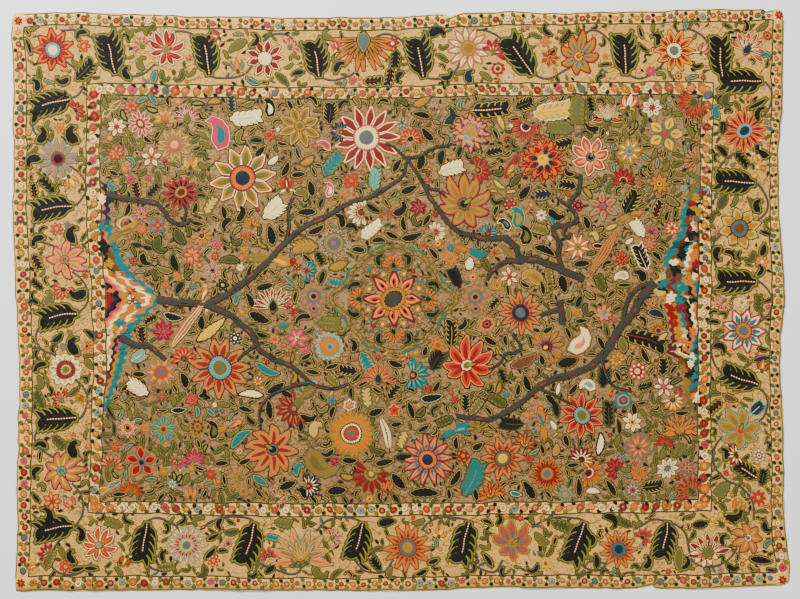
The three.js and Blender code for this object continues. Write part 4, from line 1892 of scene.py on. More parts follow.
def rim_beside(lie, side, line):
    """The cloth's edge beside each point of a line along that side."""
    if side in ("top", "bottom"):
        return np.stack([line[:, 0], lie.edge(side, line[:, 0])], 1)
    return np.stack([lie.edge(side, line[:, 1]), line[:, 1]], 1)


def unit(steps):
    """Steps made one long."""
    return steps / np.linalg.norm(steps, axis=1, keepdims=True)


def button(S, c, r, threads):
    """A small round flower of a guard band: ring in ring with a dark outline."""
    petal, edge, _, band, heart = threads
    turn = S.random.uniform(0, math.tau)
    S.disc(c, r, ("moss", "bark", "slate")[S.random.integers(3)], 1, flat=True)
    S.disc(c, r - 0.0017, petal, 2, lobes=8, depth=0.14, turn=turn)
    S.disc(c, 0.52 * r, edge, 3)
    S.disc(c, 0.42 * r, band, 4)
    S.disc(c, 0.2 * r, heart, 5)


def guard(S, far, near, pitch):
    """A narrow band between two paths: a wavy vine, small flowers, and half leaves at both lines."""
    middle = (far + near) / 2
    run = run_along(middle)
    count = max(4, int(run[-1] / pitch))
    marks = (np.arange(count) + 0.5) * run[-1] / count

    def along(path, places):
        return places_on(path, run, places)

    spots = along(middle, marks)
    wide = np.linalg.norm(along(far, marks) - along(near, marks), axis=1)
    fine = np.linspace(run[0], run[-1], count * 10)
    wave = np.sin(fine / run[-1] * count * math.pi)[:, None] * 0.2
    vine = along(middle, fine) + wave * (along(far, fine) - along(near, fine))
    S.lay(vine, FINE_ROW, "moss", 0)
    for spot, width in zip(spots, wide):
        S.change_lot()
        threads = SMALL_FLOWERS[S.random.integers(len(SMALL_FLOWERS))]
        size = width * S.random.uniform(0.24, 0.31)
        button(S, spot + S.random.normal(0, 0.0012, 2), size, threads)
    between = np.arange(1, count) * run[-1] / count
    for path, other in ((far, near), (near, far)):
        base, tip = along(path, between), along(other, between)
        way = np.arctan2(*(tip - base).T[::-1])
        reach = np.linalg.norm(tip - base, axis=1)
        for k in range(len(base)):
            S.change_lot()
            fill, edge = (("olive", "black"), ("black", "citron"), ("bronze", "moss"),
                          ("moss", "citron"))[S.random.integers(4)]
            blade(S, base[k] + 0.003 * heading(way[k]), way[k] + S.random.normal(0, 0.35),
                  0.32 * reach[k], 0.013, fill, edge, "", peak=0.4, sharp=0.5, layer=1, rim=0.0016)
    S.lot = 0
    dots = along(middle, between) + S.random.normal(0, 0.002, (count - 1, 2))
    for k, thread in enumerate(("madder", "coral", "moss")):
        S.disc(dots[k::3], 0.0022, thread, 1)


def stitch_guards(lie):
    """The inner and the outer guard band, their corner flowers, the lines and the hem."""
    S = Stitching("guard_bands", 21)
    for side in SIDES:
        inner = line_path(GUARD_LINE, side)
        rim = rim_beside(lie, side, inner)
        guard(S, rim - unit(rim - inner) * 0.005, inner, GUARD_PITCH)
        guard(S, line_path(BORDER_LINE, side), line_path(FIELD_LINE, side), GUARD_PITCH)
    outer_corners = ((18, 20), (778, 15), (783, 579), (22, 583))
    inner_corners = ((93, 89), (707, 88), (705, 505), (94, 507))
    for k, (x, y) in enumerate(outer_corners + inner_corners):
        S.change_lot()
        size, count, threads = (0.016, 7, SMALL_FLOWERS[1]) if k < 4 else (0.014, 6, SMALL_FLOWERS[2])
        floret(S, at(x, y), size, 0.5, count, threads)
    S.lot = 0
    for line in (GUARD_LINE, BORDER_LINE, FIELD_LINE):
        for side in SIDES:
            path = line_path(line, side)
            S.lay(path, BAND_LINE, "bark", 1)
            S.lay(path, BAND_LINE * 0.35, "olive", 2)
    for side in SIDES:
        inner = line_path(GUARD_LINE, side, 200)
        rim = rim_beside(lie, side, inner)
        S.lay(rim + unit(inner - rim) * 0.003, 0.003, "bark" if side == "top" else "olive", 1)
    return S


def stitch_vine(plot):
    """The border's vine, with a paler line along it."""
    S = Stitching("border_vine", 31)
    for row in VINE:
        S.change_lot()
        line = smooth(at(*row.T))
        S.lay(line, 0.0075, "bark", 0)
        S.lay(line, 0.0026, "slate", 1)
        plot.take(line[::3], 0.005)
        plot.anchors.append(line[::3])
    return S


def stitch_border_leaves(plot):
    """The border's large cut leaves, and the dark ones that curl."""
    S = Stitching("border_leaves", 32)
    for row in BORDER_LEAVES:
        put_leaf(S, row, 0)
        plot.take(leaf_line(row, 0), row.width * PX * 0.5)
    for row in BORDER_HOOKS:
        put_leaf(S, row, 0.5)
        take_leaf(plot, row, 0.5)
    return S


def stitch_flowers(plot, rows, name, seed, room):
    """A piece of flowers from the tables. Each takes the circle whose radius room gives, in pixels."""
    S = Stitching(name, seed)
    for row in rows:
        put_flower(S, row)
        plot.take(at(row.x, row.y), room(row.size) * PX)
        plot.anchors.append(at(row.x, row.y))
    return S


def stitch_border_flowers(plot):
    """The border's large flowers and buds."""
    return stitch_flowers(plot, BORDER_FLOWERS + BORDER_BUDS, "border_flowers", 33, lambda r: r + 1)


def stitch_large_flowers(plot):
    """The field's large flowers."""
    rows = [row for row in FIELD_FLOWERS if row.size >= LARGE_FLOWER]
    return stitch_flowers(plot, rows, "large_flowers", 42, lambda r: r * 0.97)


def stitch_small_flowers(plot):
    """The field's named small flowers."""
    rows = [row for row in FIELD_FLOWERS if row.size < LARGE_FLOWER]
    return stitch_flowers(plot, rows, "small_flowers", 43, lambda r: r * 0.97)


def stitch_border_filling(plot):
    """Leaves, small flowers and fine rows between the border's named motifs."""
    S = Stitching("border_filling", 34)
    plot.settle()
    for least, most, tries, flowers in ((0.021, 0.029, 900, 0.1), (0.0135, 0.02, 2600, 0.14),
                                        (0.0085, 0.0135, 3600, 0.16), (0.0055, 0.0085, 3200, 0.25)):
        for box, share in zip(BORDER_BOXES, (0.55, 1, 1.2, 1.2)):
            grow(S, plot, box, in_border, int(tries * share), least, most, flowers, 0.5,
                 BORDER_SPRIGS)
    for box, count in zip(BORDER_BOXES, (380, 700, 900, 900)):
        squiggles(S, box, in_border, count, ("tan", "olive", "moss", "brown"))
    return S


def stitch_branches(plot):
    """The boughs: dark bark with rough edges, streaks of slate, black and olive along them, the slate
    one along one side being a painted highlight, and a broken line of bright stitches.
    """
    S = Stitching("tree_branches", 41)
    rng = S.random
    for row in BRANCHES:
        line = smooth(at(*row.points.T))
        count = len(line)
        wide = np.linspace(row.start, row.end, count) * PX
        wide *= 1 + 0.09 * np.sin(np.arange(count) * 1.3) + rng.normal(0, 0.05, count)
        S.lot = 0
        S.lay(line, wide + 0.003, "black", 13, flat=True)
        S.lay(line, wide, "bark", 14)
        plot.take(line[::2], row.start * PX * 0.55)
        plot.anchors.append(line[::2])
        turn = turns_along(line)
        reach = np.linalg.norm(np.diff(line, axis=0), axis=1).sum()
        knots = rng.integers(0, count, int(reach / BARK_PITCH))
        side = rng.choice((-1, 1), len(knots))
        foot = line[knots] + heading(turn[knots] + side * 1.57) * (wide[knots] * 0.42)[:, None]
        blade(S, foot, turn[knots] + side * 0.8, 0.0025 + 0.3 * wide[knots], 0.0045, "bark",
              layer=13, sharp=0.6)
        if row.start <= TWIG:
            continue
        # Streaks along the bough: the slate one, a quarter of the width to one side, is a painted
        # highlight; the black and olive ones are streaks.
        for share, thread in ((-0.26, "slate"), (0.2, "black"), (0.02, "olive")):
            offset = heading(turn + 1.57) * (wide * share)[:, None]
            S.lay(line + offset, 0.0014, thread, 16)
        for k, i in enumerate(np.arange(3, count - 4, 6)):
            part = line[i : i + 3] + rng.normal(0, 0.0016, 2)
            S.lay(part, 0.0034, ("madder", "black", "coral", "maroon")[k % 4], 17)
    return S


def stitch_field_leaves(plot):
    """The field's named leaves."""
    S = Stitching("field_leaves", 44)
    for row in FIELD_LEAVES:
        put_leaf(S, row, 0.5)
        take_leaf(plot, row, 0.5)
    return S


def stitch_birds(plot):
    """The birds, and the long tails of the two large ones."""
    S = Stitching("birds", 45)
    for row, threads in zip(PLUMES, PLUME_THREADS):
        line = smooth(at(*row.points.T))
        plume(S, line, row.start * PX, threads)
        plot.take(line[::2], row.start * PX * 0.5)
    for row in BIRDS:
        place = at(row.x, row.y)
        turn = math.radians(row.turn)
        bird(S, place, row.length * PX, turn, row.threads, row.side)
        for share in (-0.45, -0.15, 0.15, 0.4):
            plot.take(place + heading(turn) * share * row.length * PX, 0.16 * row.length * PX)
    return S


def stitch_field_filling(plot):
    """The larger leaves and flowers between the field's named ones, greener in its corners."""
    S = Stitching("field_filling", 46)
    plot.settle()
    for box in GREEN_BOXES:
        grow(S, plot, box, in_field, 2600, 0.0105, 0.017, 0.05, 0.2, GREEN_LEAVES)
    for least, most, tries, flowers in ((0.022, 0.028, 3000, 0.12), (0.0145, 0.021, 9000, 0.12)):
        grow(S, plot, FIELD_BOX, in_field, tries, least, most, flowers, 0.3)
    return S


def stitch_field_sprigs(plot):
    """The smallest leaves and flowers of the field."""
    S = Stitching("field_sprigs", 47)
    for least, most, tries, flowers in ((0.0095, 0.0145, 16000, 0.1), (0.006, 0.0095, 18000, 0.12),
                                        (0.0046, 0.006, 9000, 0.1)):
        grow(S, plot, FIELD_BOX, in_field, tries, least, most, flowers, 0.25)
    return S


def stitch_ground_rows(plot):
    """Fine wandering rows and knots over the field's ground."""
    S = Stitching("ground_rows", 48)
    squiggles(S, FIELD_BOX, in_field, 8200, ("brown", "bark", "olive", "brown", "moss", "tan"))

    def dot(place):
        S.disc(place, 0.0024, ("olive", "coral", "moss", "madder", "lime")[S.random.integers(5)], 1)

    scatter(S, plot, FIELD_BOX, in_field, 9000, 0.0042, dot)
    return S


def stitch_medallion(plot):
    """The round medallion: a flower, curled leaves and palmettes about it, and a garland."""
    S = Stitching("medallion", 51)
    c = at(*MEDALLION)
    u = PX
    quarter = np.arange(4) * math.pi / 2
    eighth = math.pi / 8 + np.arange(8) * math.pi / 4
    garland(S, c, u)
    petals(S, c, 8, 9 * u, 27 * u, "peach", "crimson+maroon", full=0.74, sharp=1.0, layer=3,
           rim=0.0034, core="coral", core_width=0.6)
    petals(S, c, 8, 15 * u, 21 * u, "black", layer=8, full=0.2)
    petals(S, c, 8, 10 * u, 20 * u, "saffron", "bark", turn=math.pi / 8, full=0.4, layer=2)
    S.disc(c, 13 * u, "bark", 8, lobes=16, depth=0.08)
    S.disc(c, 12.2 * u, "saffron", 9, lobes=16, depth=0.1)
    beads(S, c, 10.6 * u, 16, RIM * 1.1, "black", 10)
    S.disc(c, 9.4 * u, "crimson", 10)
    S.disc(c, 8.4 * u, "black", 11)
    S.disc(c, 7.6 * u, "bark", 12)
    beads(S, c, 5.4 * u, 14, RIM * 0.6, "slate", 13)
    beads(S, c, 3 * u, 8, RIM * 0.6, "slate", 13)
    for way in eighth:
        S.change_lot()
        floret(S, c + 27 * u * heading(way), 4.6 * u, way, 3,
               "saffron black saffron cream olive".split())
    for way in quarter:
        S.change_lot()
        fan(S, c + 37 * u * heading(way), 7.8 * u, way, 9, "orange maroon saffron aqua black".split())
    for k, way in enumerate(eighth):
        S.change_lot()
        side = 1 if k % 2 else -1
        hook(S, c + 36 * u * heading(way), way + side * 0.5, 12 * u, 8 * u, side,
             ("black", "citron+moss", ""))
        small = c + 33 * u * heading(way - side * 0.24)
        floret(S, small, 2.6 * u, way, 5, SMALL_FLOWERS[k])
    rng = S.random
    for k, thread in enumerate(("moss", "brown", "teal", "coral", "olive", "madder", "moss")):
        for way in rng.uniform(0, math.tau, 22):
            foot = c + rng.uniform(26, 44) * u * heading(way)
            line = spines(foot, way + rng.uniform(1, 5), rng.uniform(5, 9) * u,
                          rng.uniform(-3, 3), np.linspace(0, 1, 7))
            S.lay(line, 0.0014, thread, 1)
    for k, way in enumerate(rng.uniform(0, math.tau, 260)):
        foot = c + rng.uniform(24, 47) * u * heading(way)
        line = spines(foot, rng.normal(0, 0.6), 6 * u, rng.uniform(-2, 2), np.linspace(0, 1, 5))
        S.lay(line, 0.0015, ("moss", "bark", "brown")[k % 3], 0)
    dots = c + rng.uniform(27, 46, (60, 1)) * u * heading(rng.uniform(0, math.tau, 60))
    for k, thread in enumerate(("madder", "coral", "olive", "citron", "moss")):
        S.disc(dots[k::5], 0.0026, thread, 2)
    for way in rng.uniform(0, math.tau, 46):
        foot = c + rng.uniform(29, 45) * u * heading(way)
        fill = ("moss", "teal", "black")[rng.integers(3)]
        leaf(S, foot, way + rng.normal(1.2, 1), 6 * u, 3 * u, 0.8, (fill, "olive", ""))
    plot.take(c, 53 * u)
    plot.take(at((334, 453), (299, 299)), 8 * u)
    plot.anchors.append(c + 57 * u * heading(round_angles(40)))
    return S


def garland(S, c, u):
    """Rows of gold, olive and teal round the medallion, with points at its sides and ends."""
    angle = np.linspace(0, math.tau, 241)
    aside = np.abs((angle + math.pi / 2) % math.pi - math.pi / 2)
    ahead = np.abs(angle % math.pi - math.pi / 2)
    reach = 49.5 + 13 * np.exp(-((aside / 0.17) ** 2)) + 3.5 * np.exp(-((ahead / 0.2) ** 2))
    reach = reach + 1.5 * np.abs(np.sin(8 * angle))
    for offset, thread, width in ((0, "saffron", 0.0036), (-2.6, "moss", 0.003),
                                  (1.6, "olive", 0.003), (-4.8, "olive", 0.0018)):
        S.lay(c + heading(angle) * ((reach + offset) * u)[:, None], width, thread, 2)
    for start in range(6, 241, 30):
        part = slice(start, start + 15)
        S.lay(c + heading(angle[part]) * ((reach[part] + 3) * u)[:, None], 0.0056, "teal", 3)
    for k in range(0, 240, 4):
        S.change_lot()
        foot = c + heading(angle[k]) * (reach[k] - 1) * u
        thread = ("saffron", "olive", "citron", "olive")[(k // 4) % 4]
        blade(S, foot, angle[k] + 0.9, 4.4 * u, 1.7 * u, thread, "moss", curl=0.7, layer=4,
              rim=0.0011)


def mound(S, side, table, patches, sign, plot):
    """Stepped bands of colour, one inside the other, that bulge from one side of the field."""
    places, reach = table.T
    across = np.array([-1.0, -0.5, 0, 0.5, 1.0])
    for first, last, threads in patches:
        y = np.arange(first - 1.0, last + 1.0, 0.75)
        foot = side_at(FIELD_LINE, side, y) + sign * 1.0
        edge = np.interp(y, places, reach, left=0, right=0)
        for k, thread in enumerate(threads):
            step = MOUND_JAG * np.tanh(2.4 * np.sin(y * math.tau / MOUND_WAVE + 0.5 * k))
            away = edge - k * MOUND_BAND + step
            ends = np.flatnonzero(np.diff(np.concatenate([[0], away > 1, [0]])))
            for a, b in zip(ends[::2], ends[1::2]):
                if b - a < 3:
                    continue
                near = at(foot[a:b], y[a:b])
                far = at(foot[a:b] + sign * away[a:b], y[a:b])
                width = np.linalg.norm(far - near, axis=1)
                xy = (near + far)[:, None] / 2 + (far - near)[:, None] / 2 * across[:, None]
                quads = grid_quads(b - a, len(across))[:, ::sign]
                rise = (1 - across**2)[None] * np.minimum(width / 3, CROWN)[:, None]
                S.add(xy.reshape(1, -1, 2), rise.reshape(1, -1), [quads],
                      xy[..., ::-1].reshape(-1, 2), thread, 1 + k)
    for y in np.arange(places[0], places[-1], 6):
        for away in np.arange(0, np.interp(y, places, reach) + 1, 5):
            plot.take(at(side_at(FIELD_LINE, side, y) + sign * away, y), 4 * PX)


def blots(S, side, table, sign, count):
    """Uneven lobed patches over the steps of a mound, which break up its bands."""
    rng = S.random
    places, reach = table.T
    for k in range(count):
        y = rng.uniform(places[0] + 6, places[-1] - 6)
        size = rng.uniform(3, 6)
        room = np.interp(y, places, reach) - size - 2
        if room < 2:
            continue
        x = side_at(FIELD_LINE, side, y) + sign * rng.uniform(1, room)
        turn = rng.uniform(0, math.tau)
        thread = ("teal", "black", "brown", "crimson", "orange", "cream", "saffron")[k % 7]
        lobes = int(rng.integers(3, 6))
        S.disc(at(x, y), size * PX, thread, 12 + k % 2, lobes=lobes, depth=0.5, turn=turn)
        S.disc(at(x, y) + 0.8 * size * PX * heading(turn), 0.8 * size * PX, thread, 12 + k % 2,
               lobes=lobes, depth=0.5)


def stitch_mounds(plot):
    """Both mounds, and the small trefoil and ring flower by the left one."""
    S = Stitching("stepped_mounds", 52)
    mound(S, "left", LEFT_MOUND, LEFT_PATCHES, 1, plot)
    mound(S, "right", RIGHT_MOUND, RIGHT_PATCHES, -1, plot)
    for side, table, sign, count in (("left", LEFT_MOUND, 1, 16), ("right", RIGHT_MOUND, -1, 60)):
        blots(S, side, table, sign, count)
    c = at(132, 300)
    S.disc(c + 3.4 * PX * heading(round_angles(3, 1.57)), 2.6 * PX, "brown", 12)
    S.disc(c + 3.4 * PX * heading(round_angles(3, 1.57)), 1.7 * PX, "cream", 13)
    S.disc(c, 1.8 * PX, "brown", 14)
    ring(S, at(126, 223), 6.5 * PX, 0.0022, "cream", 4)
    ring(S, at(126, 223), 7.6 * PX, 0.0022, "saffron", 4)
    S.disc(at(126, 223), 2.5 * PX, "madder", 4, lobes=5, depth=0.3)
    return S


# Materials


def add_node(tree, kind, settings=None, **links):
    """Adds a node, sets its values and links its inputs: sockets by name, or by number as _0."""
    node = tree.nodes.new(kind)
    for name, value in (settings or {}).items():
        if isinstance(name, int) or name in node.inputs:
            node.inputs[name].default_value = value
        else:
            setattr(node, name, value)
    for name, socket in links.items():
        tree.links.new(socket, node.inputs[int(name[1:]) if name[1:].isdigit() else name])
    return node


def wave(tree, place, direction, pitch, **settings):
    """Bands across one direction, that far apart."""
    settings = {"bands_direction": direction, "Scale": WAVE_SPACING / pitch, **settings}
    return add_node(tree, "ShaderNodeTexWave", settings, Vector=place).outputs["Fac"]


def ramp(tree, source, *stops):
    """A colour for each value of the source, between two stops of a place and a colour."""
    node = add_node(tree, "ShaderNodeValToRGB", Fac=source)
    for element, (place, colour) in zip(node.color_ramp.elements, stops):
        element.position = place
        element.color = (*colour, 1)
    return node.outputs["Color"]


def relief(tree, shader, height, strength, distance):
    """Bumps the shader's surface by a height."""
    bump = add_node(tree, "ShaderNodeBump", {"Strength": strength, "Distance": distance}, Height=height)
    tree.links.new(bump.outputs["Normal"], shader.inputs["Normal"])


def covered(tree, under, mask, share, colour):
    """The colour under it, covered with another where the mask is, by that share."""
    amount = add_node(tree, "ShaderNodeMath", {"operation": "MULTIPLY", 1: share}, _0=mask)
    mix = add_node(tree, "ShaderNodeMix", {"data_type": "RGBA"}, _6=under)
    tree.links.new(amount.outputs["Value"], mix.inputs["Factor"])
    mix.inputs[7].default_value = (*colour, 1)
    return mix.outputs[2]


def new_material(name):
    """An empty material with its shader, and the tree to add to."""
    material = bpy.data.materials.new(name)
    material.use_nodes = True
    return material, material.node_tree, material.node_tree.nodes["Principled BSDF"]


def floss_silk(thread, lot):
    """Floss silk, untwisted and worked in chain stitch: a soft gloss along close rows of loops."""
    name = f"floss_silk_{thread}" + ("_faded" if lot else "")
    if name in bpy.data.materials:
        return bpy.data.materials[name]
    material, tree, shader = new_material(name)
    colour = getattr(bpy.context.scene.palampore_threads, thread)
    dusty = tuple(part * max(colour) for part in linear(DUST))
    colour = blended(tuple(colour), dusty, LOT_FADE[lot])
    shader.inputs["Base Color"].default_value = (*colour, 1)
    shader.inputs["Roughness"].default_value = 0.6
    shader.inputs["IOR"].default_value = 1.54
    shader.inputs["Specular IOR Level"].default_value = 0.15
    place = add_node(tree, "ShaderNodeUVMap", {"uv_map": ROWS_MAP}).outputs["UV"]
    rows = wave(tree, place, "Y", ROW_PITCH, Distortion=0.6, Detail=1.0)
    loops = wave(tree, place, "X", LOOP_LENGTH, Distortion=0.8, Detail=1.0)
    both = add_node(tree, "ShaderNodeMath", {"operation": "MULTIPLY_ADD", 1: 0.45}, _0=loops, _2=rows)
    relief(tree, shader, both.outputs["Value"], 0.6, STITCH_RELIEF)
    return material


def ground_cotton(zone):
    """Hand-woven cotton in plain weave, unbleached and browned with age: matt, with slubs,
    and with fine straw-coloured and brown stitches sunk into it in the field."""
    name = f"ground_cotton_{zone}"
    if name in bpy.data.materials:
        return bpy.data.materials[name]
    material, tree, shader = new_material(name)
    cloth = bpy.context.scene.palampore_cloth
    colour = tuple(getattr(cloth, f"{zone}_colour"))
    grime = tuple(c * 0.55 for c in colour)
    pale = blended(colour, linear("#f0dc9a"), 0.3)
    place = add_node(tree, "ShaderNodeTexCoord")
    here = place.outputs["Object"]
    flat = add_node(tree, "ShaderNodeMapping", {"Scale": (0.75, 1.15, 1.0)}, Vector=here)
    blotch = add_node(tree, "ShaderNodeTexNoise", {"Scale": 3.2, "Detail": 3.0, "Roughness": 0.55},
                      Vector=here)
    speck = add_node(tree, "ShaderNodeTexNoise", {"Scale": 120.0, "Detail": 4.0, "Roughness": 0.75},
                     Vector=flat.outputs["Vector"])
    worm = add_node(tree, "ShaderNodeTexNoise", {"Scale": 58.0, "Detail": 1.0, "Distortion": 0.7},
                    Vector=flat.outputs["Vector"])
    ground = ramp(tree, blotch.outputs["Fac"], (0.3, blended(colour, grime, 0.3)),
                  (0.7, blended(colour, pale, 0.35)))
    flecks = ramp(tree, speck.outputs["Fac"], (0.36, (1, 1, 1)), (0.56, (0, 0, 0)))
    lines = add_node(tree, "ShaderNodeMath", {"operation": "PINGPONG", 1: 0.11},
                     _0=worm.outputs["Fac"])
    thread = add_node(tree, "ShaderNodeMapRange", {"From Min": 0.012, "From Max": 0.04,
                                                   "To Min": 0.85, "To Max": 0.0},
                      Value=lines.outputs["Value"])
    depth = {"field": 0.85, "border": 0.6, "guard": 0.35}[zone]
    flecked = covered(tree, ground, flecks, depth, grime)
    brown = blended(grime, linear(THREADS["brown"]), 0.5)
    lined = covered(tree, flecked, thread.outputs["Result"], depth, brown)
    tree.links.new(lined, shader.inputs["Base Color"])
    shader.inputs["Roughness"].default_value = 0.93
    shader.inputs["Specular IOR Level"].default_value = 0.1
    warp, weft = (wave(tree, here, way, YARN_PITCH, Distortion=1.0) for way in "XY")
    weave = add_node(tree, "ShaderNodeMath", {"operation": "MAXIMUM"}, _0=warp, _1=weft)
    relief(tree, shader, weave.outputs["Value"], 0.5, YARN_RELIEF)
    return material


# The cloth


def zone_lines(lie, axis):
    """The cloth's rim and the three stitched lines on both sides, across one axis, as functions
    of the place along them, in metres."""
    near, far = ("left", "right") if axis == 0 else ("bottom", "top")

    def stitched(line, side):
        if axis == 0:
            return lambda y: at(side_at(line, side, MIDDLE_Y - y / PX), 0)[..., 0]
        return lambda x: at(0, side_at(line, side, x / PX + MIDDLE_X))[..., 1]

    lines = [lambda v: lie.edge(near, v)]
    lines += [stitched(line, near) for line in (GUARD_LINE, BORDER_LINE, FIELD_LINE)]
    lines += [stitched(line, far) for line in (FIELD_LINE, BORDER_LINE, GUARD_LINE)]
    return lines + [lambda v: lie.edge(far, v)]


def make_ground(lie, cloth):
    """One closed sheet on the solid's form, its cells lined up with the stitched lines so that
    each zone has its own shade."""
    share, zone = [], []
    for counts in GROUND_CELLS:
        share.append(np.concatenate([k + np.arange(n) / n for k, n in enumerate(counts)] + [[7]]))
        zone.append(np.concatenate([np.full(n, min(k, 6 - k)) for k, n in enumerate(counts)]))
    across, up = zone_lines(lie, 0), zone_lines(lie, 1)

    def between(lines, place, along):
        k = np.minimum(place.astype(int), 6)
        part = place - k
        values = np.stack([line(along) for line in lines])
        low = np.take_along_axis(values, k[None], 0)[0]
        high = np.take_along_axis(values, k[None] + 1, 0)[0]
        return low + (high - low) * part

    u, v = np.meshgrid(*share)
    x = (u / 7 - 0.5) * (lie.high[0] - lie.low[0])
    y = (v / 7 - 0.5) * (lie.high[1] - lie.low[1])
    for _ in range(6):
        x = between(across, u, y)
        y = between(up, v, x)
    rows, columns = x.shape
    fray = np.random.default_rng(5)
    for end in (0, -1):
        y[end] += fray.normal(0, FRAY, columns)
    for end in (0, -1):
        x[:, end] += fray.normal(0, FRAY, rows)
    xy = np.stack([x, y], -1)
    under = lie.height(xy) + GROUND_GAP
    top = under + cloth.thickness
    points = np.concatenate([np.dstack([xy, z]).reshape(-1, 3) for z in (under, top)])
    size = rows * columns
    j, i = np.meshgrid(np.arange(rows - 1), np.arange(columns - 1), indexing="ij")
    first = (j * columns + i).ravel()
    face = np.stack([first, first + 1, first + columns + 1, first + columns], 1)
    cell_zone = np.minimum(np.minimum(zone[1][:, None], zone[0][None, :]), 3).ravel()
    rim = np.concatenate([np.arange(columns - 1), np.arange(rows - 1) * columns + columns - 1,
                          (rows - 1) * columns + np.arange(columns - 1, 0, -1),
                          np.arange(rows - 1, 0, -1) * columns])
    after = np.roll(rim, -1)
    hem = np.stack([rim, after, after + size, rim + size], 1)
    faces = np.concatenate([face + size, face[:, ::-1], hem])
    slots = np.concatenate([np.array([0, 1, 0, 2])[cell_zone]] * 2 + [np.zeros(len(hem), int)])
    mesh = make_mesh("embroidered_ground", points, faces.ravel(), np.full(len(faces), 4), slots)
    for zone_name in ("guard", "border", "field"):
        mesh.materials.append(ground_cotton(zone_name))
    ground = place_mesh(mesh)
    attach(ground, BODY)
    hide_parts(SHEET_NODE)
    return ground


class ThreadColours(bpy.types.PropertyGroup):
    """One colour for each dyed thread."""

    __annotations__ = {
        name: FloatVectorProperty(name=name.capitalize(), description=f"Colour of the {name} silk",
                                  default=linear(code), subtype="COLOR", min=0, max=1)
        for name, code in THREADS.items()
    }


class ClothSettings(bpy.types.PropertyGroup):
    """Sizes and shades of the cotton ground."""

    thickness: FloatProperty(name="Thickness", description="Thickness of the cotton ground",
                             default=0.0009, min=0.0003, max=0.003, unit="LENGTH")
    pucker: FloatProperty(name="Pucker", description="How high the stitching puckers the ground",
                          default=0.0006, min=0, max=0.004, unit="LENGTH")
    field_colour: FloatVectorProperty(name="Field", description="Ground between the trees",
                                      default=linear("#987244"), subtype="COLOR", min=0, max=1)
    border_colour: FloatVectorProperty(name="Border", description="Ground of the wide border",
                                       default=linear("#d8a048"), subtype="COLOR", min=0, max=1)
    guard_colour: FloatVectorProperty(name="Guards", description="Ground of the narrow bands",
                                      default=linear("#fcbc54"), subtype="COLOR", min=0, max=1)


class StageSettings(bpy.types.PropertyGroup):
    """Camera and light."""

    distance: FloatProperty(name="Distance", description="Camera height over the cover",
                            default=7.0, min=2, unit="LENGTH")
    key_power: FloatProperty(name="Key", description="Power of the main light", default=1700.0,
                             unit="POWER")
    fill_power: FloatProperty(name="Fill", description="Power of the light across from it",
                              default=400.0, unit="POWER")
    sky: FloatProperty(name="Surround", description="Strength of the light from all round",
                       default=0.08, min=0)


# What the operators hand on: how the cloth lies, the ground, the taken places and the pieces
SHARED = {"plot": Plot(), "pieces": []}


def finish_piece(context, S):
    """Turns the collected stitching into a piece on the cloth."""
    cloth = context.scene.palampore_cloth
    piece = S.make(SHARED["lie"], GROUND_GAP + cloth.thickness + EASE)
    SHARED["pieces"].append(piece)


def stitch_all(context, *pieces):
    """Stitches pieces in that order, and an operator's answer."""
    for stitch in pieces:
        finish_piece(context, stitch(SHARED["plot"]))
    return {"FINISHED"}


class PALAMPORE_OT_ground(bpy.types.Operator):
    """Lay out the cotton ground on the solid sheet's form"""

    bl_idname = "palampore.ground"
    bl_label = "Cotton Ground"

    def execute(self, context):
        cloth = context.scene.palampore_cloth
        SHARED["lie"] = Lie(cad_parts[SHEET_NODE], cloth.pucker)
        SHARED["ground"] = make_ground(SHARED["lie"], cloth)
        return {"FINISHED"}


class PALAMPORE_OT_guards(bpy.types.Operator):
    """Stitch the narrow guard bands and the lines between the zones"""

    bl_idname = "palampore.guards"
    bl_label = "Guard Bands"

    def execute(self, context):
        finish_piece(context, stitch_guards(SHARED["lie"]))
        return {"FINISHED"}


class PALAMPORE_OT_border(bpy.types.Operator):
    """Stitch the wide border: vine, cut leaves, flowers and what fills in between"""

    bl_idname = "palampore.border"
    bl_label = "Main Border"

    def execute(self, context):
        return stitch_all(context, stitch_vine, stitch_border_leaves, stitch_border_flowers,
                          stitch_border_filling)


class PALAMPORE_OT_trees(bpy.types.Operator):
    """Stitch the mounds, the medallion and the branches of both trees"""

    bl_idname = "palampore.trees"
    bl_label = "Trees"

    def execute(self, context):
        return stitch_all(context, stitch_mounds, stitch_medallion, stitch_branches)


class PALAMPORE_OT_field(bpy.types.Operator):
    """Stitch the flowers, leaves and birds of the field, then fill in between them"""

    bl_idname = "palampore.field"
    bl_label = "Field"

    def execute(self, context):
        return stitch_all(context, stitch_large_flowers, stitch_small_flowers, stitch_field_leaves,
                          stitch_birds, stitch_field_filling, stitch_field_sprigs, stitch_ground_rows)


class PALAMPORE_OT_stage(bpy.types.Operator):
    """Set the pale floor, the soft lights and the camera straight above"""

    bl_idname = "palampore.stage"
    bl_label = "Floor, Lights and Camera"

    def execute(self, context):
        make_stage(context.scene)
        return {"FINISHED"}


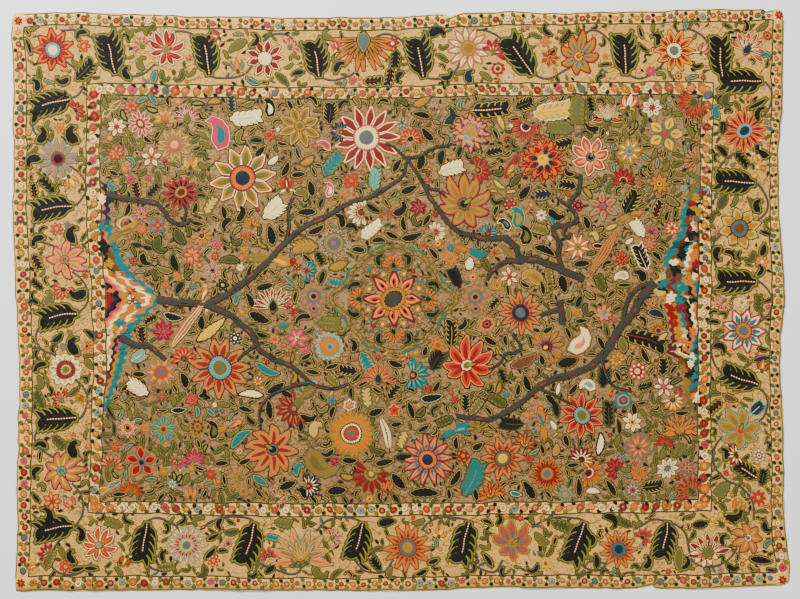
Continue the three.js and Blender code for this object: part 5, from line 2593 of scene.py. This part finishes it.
def make_stage(scene):
    """A floor of white painted board, two large soft lights and a camera that looks straight down."""
    stage = scene.palampore_stage
    mesh = bpy.data.meshes.new("studio_floor")
    corners = [(x * FLOOR_REACH, y * FLOOR_REACH, 0) for x, y in ((-1, -1), (1, -1), (1, 1), (-1, 1))]
    mesh.from_pydata(corners, [], [(0, 1, 2, 3)])
    floor = bpy.data.objects.new("studio_floor", mesh)
    material, _, shader = new_material("painted_board_white")
    shader.inputs["Base Color"].default_value = (0.9, 0.9, 0.9, 1)
    shader.inputs["Roughness"].default_value = 0.9
    mesh.materials.append(material)
    scene.collection.objects.link(floor)

    world = bpy.data.worlds.new("studio")
    world.use_nodes = True
    world.node_tree.nodes["Background"].inputs["Color"].default_value = (1, 1, 1, 1)
    world.node_tree.nodes["Background"].inputs["Strength"].default_value = stage.sky
    scene.world = world

    for (name, place, size), power in zip(LIGHTS, (stage.key_power, stage.fill_power)):
        light = bpy.data.lights.new(name, "AREA")
        light.energy = power
        light.size = size
        lamp = bpy.data.objects.new(name, light)
        lamp.location = place
        lamp.rotation_euler = (-Vector(place)).to_track_quat("-Z", "Y").to_euler()
        scene.collection.objects.link(lamp)

    camera = bpy.data.cameras.new("camera")
    camera.sensor_width = 36
    camera.lens = camera.sensor_width * stage.distance / (PHOTO_WIDTH * PX)
    eye = bpy.data.objects.new("camera", camera)
    x, y = at(PHOTO_WIDTH / 2, PHOTO_HEIGHT / 2)
    eye.location = (x, y, stage.distance)
    scene.collection.objects.link(eye)
    scene.camera = eye


class PALAMPORE_PT_panel(bpy.types.Panel):
    """Lists the pieces, in the order in which they are made"""

    bl_idname = "PALAMPORE_PT_panel"
    bl_label = "Palampore"
    bl_space_type = "VIEW_3D"
    bl_region_type = "UI"
    bl_category = "Palampore"

    def draw(self, context):
        for operator in OPERATORS:
            self.layout.operator(operator.bl_idname)
        for settings in (context.scene.palampore_cloth, context.scene.palampore_stage):
            for name in settings.__annotations__:
                self.layout.prop(settings, name)


OPERATORS = (PALAMPORE_OT_ground, PALAMPORE_OT_guards, PALAMPORE_OT_border, PALAMPORE_OT_trees,
             PALAMPORE_OT_field, PALAMPORE_OT_stage)
CLASSES = (ThreadColours, ClothSettings, StageSettings, *OPERATORS, PALAMPORE_PT_panel)


def register():
    for cls in CLASSES:
        bpy.utils.register_class(cls)
    bpy.types.Scene.palampore_threads = PointerProperty(type=ThreadColours)
    bpy.types.Scene.palampore_cloth = PointerProperty(type=ClothSettings)
    bpy.types.Scene.palampore_stage = PointerProperty(type=StageSettings)


def unregister():
    for name in ("palampore_threads", "palampore_cloth", "palampore_stage"):
        delattr(bpy.types.Scene, name)
    for cls in reversed(CLASSES):
        bpy.utils.unregister_class(cls)


def main():
    register()
    for operator in OPERATORS:
        group, name = operator.bl_idname.split(".")
        getattr(getattr(bpy.ops, group), name)()


if __name__ == "__main__":
    main()
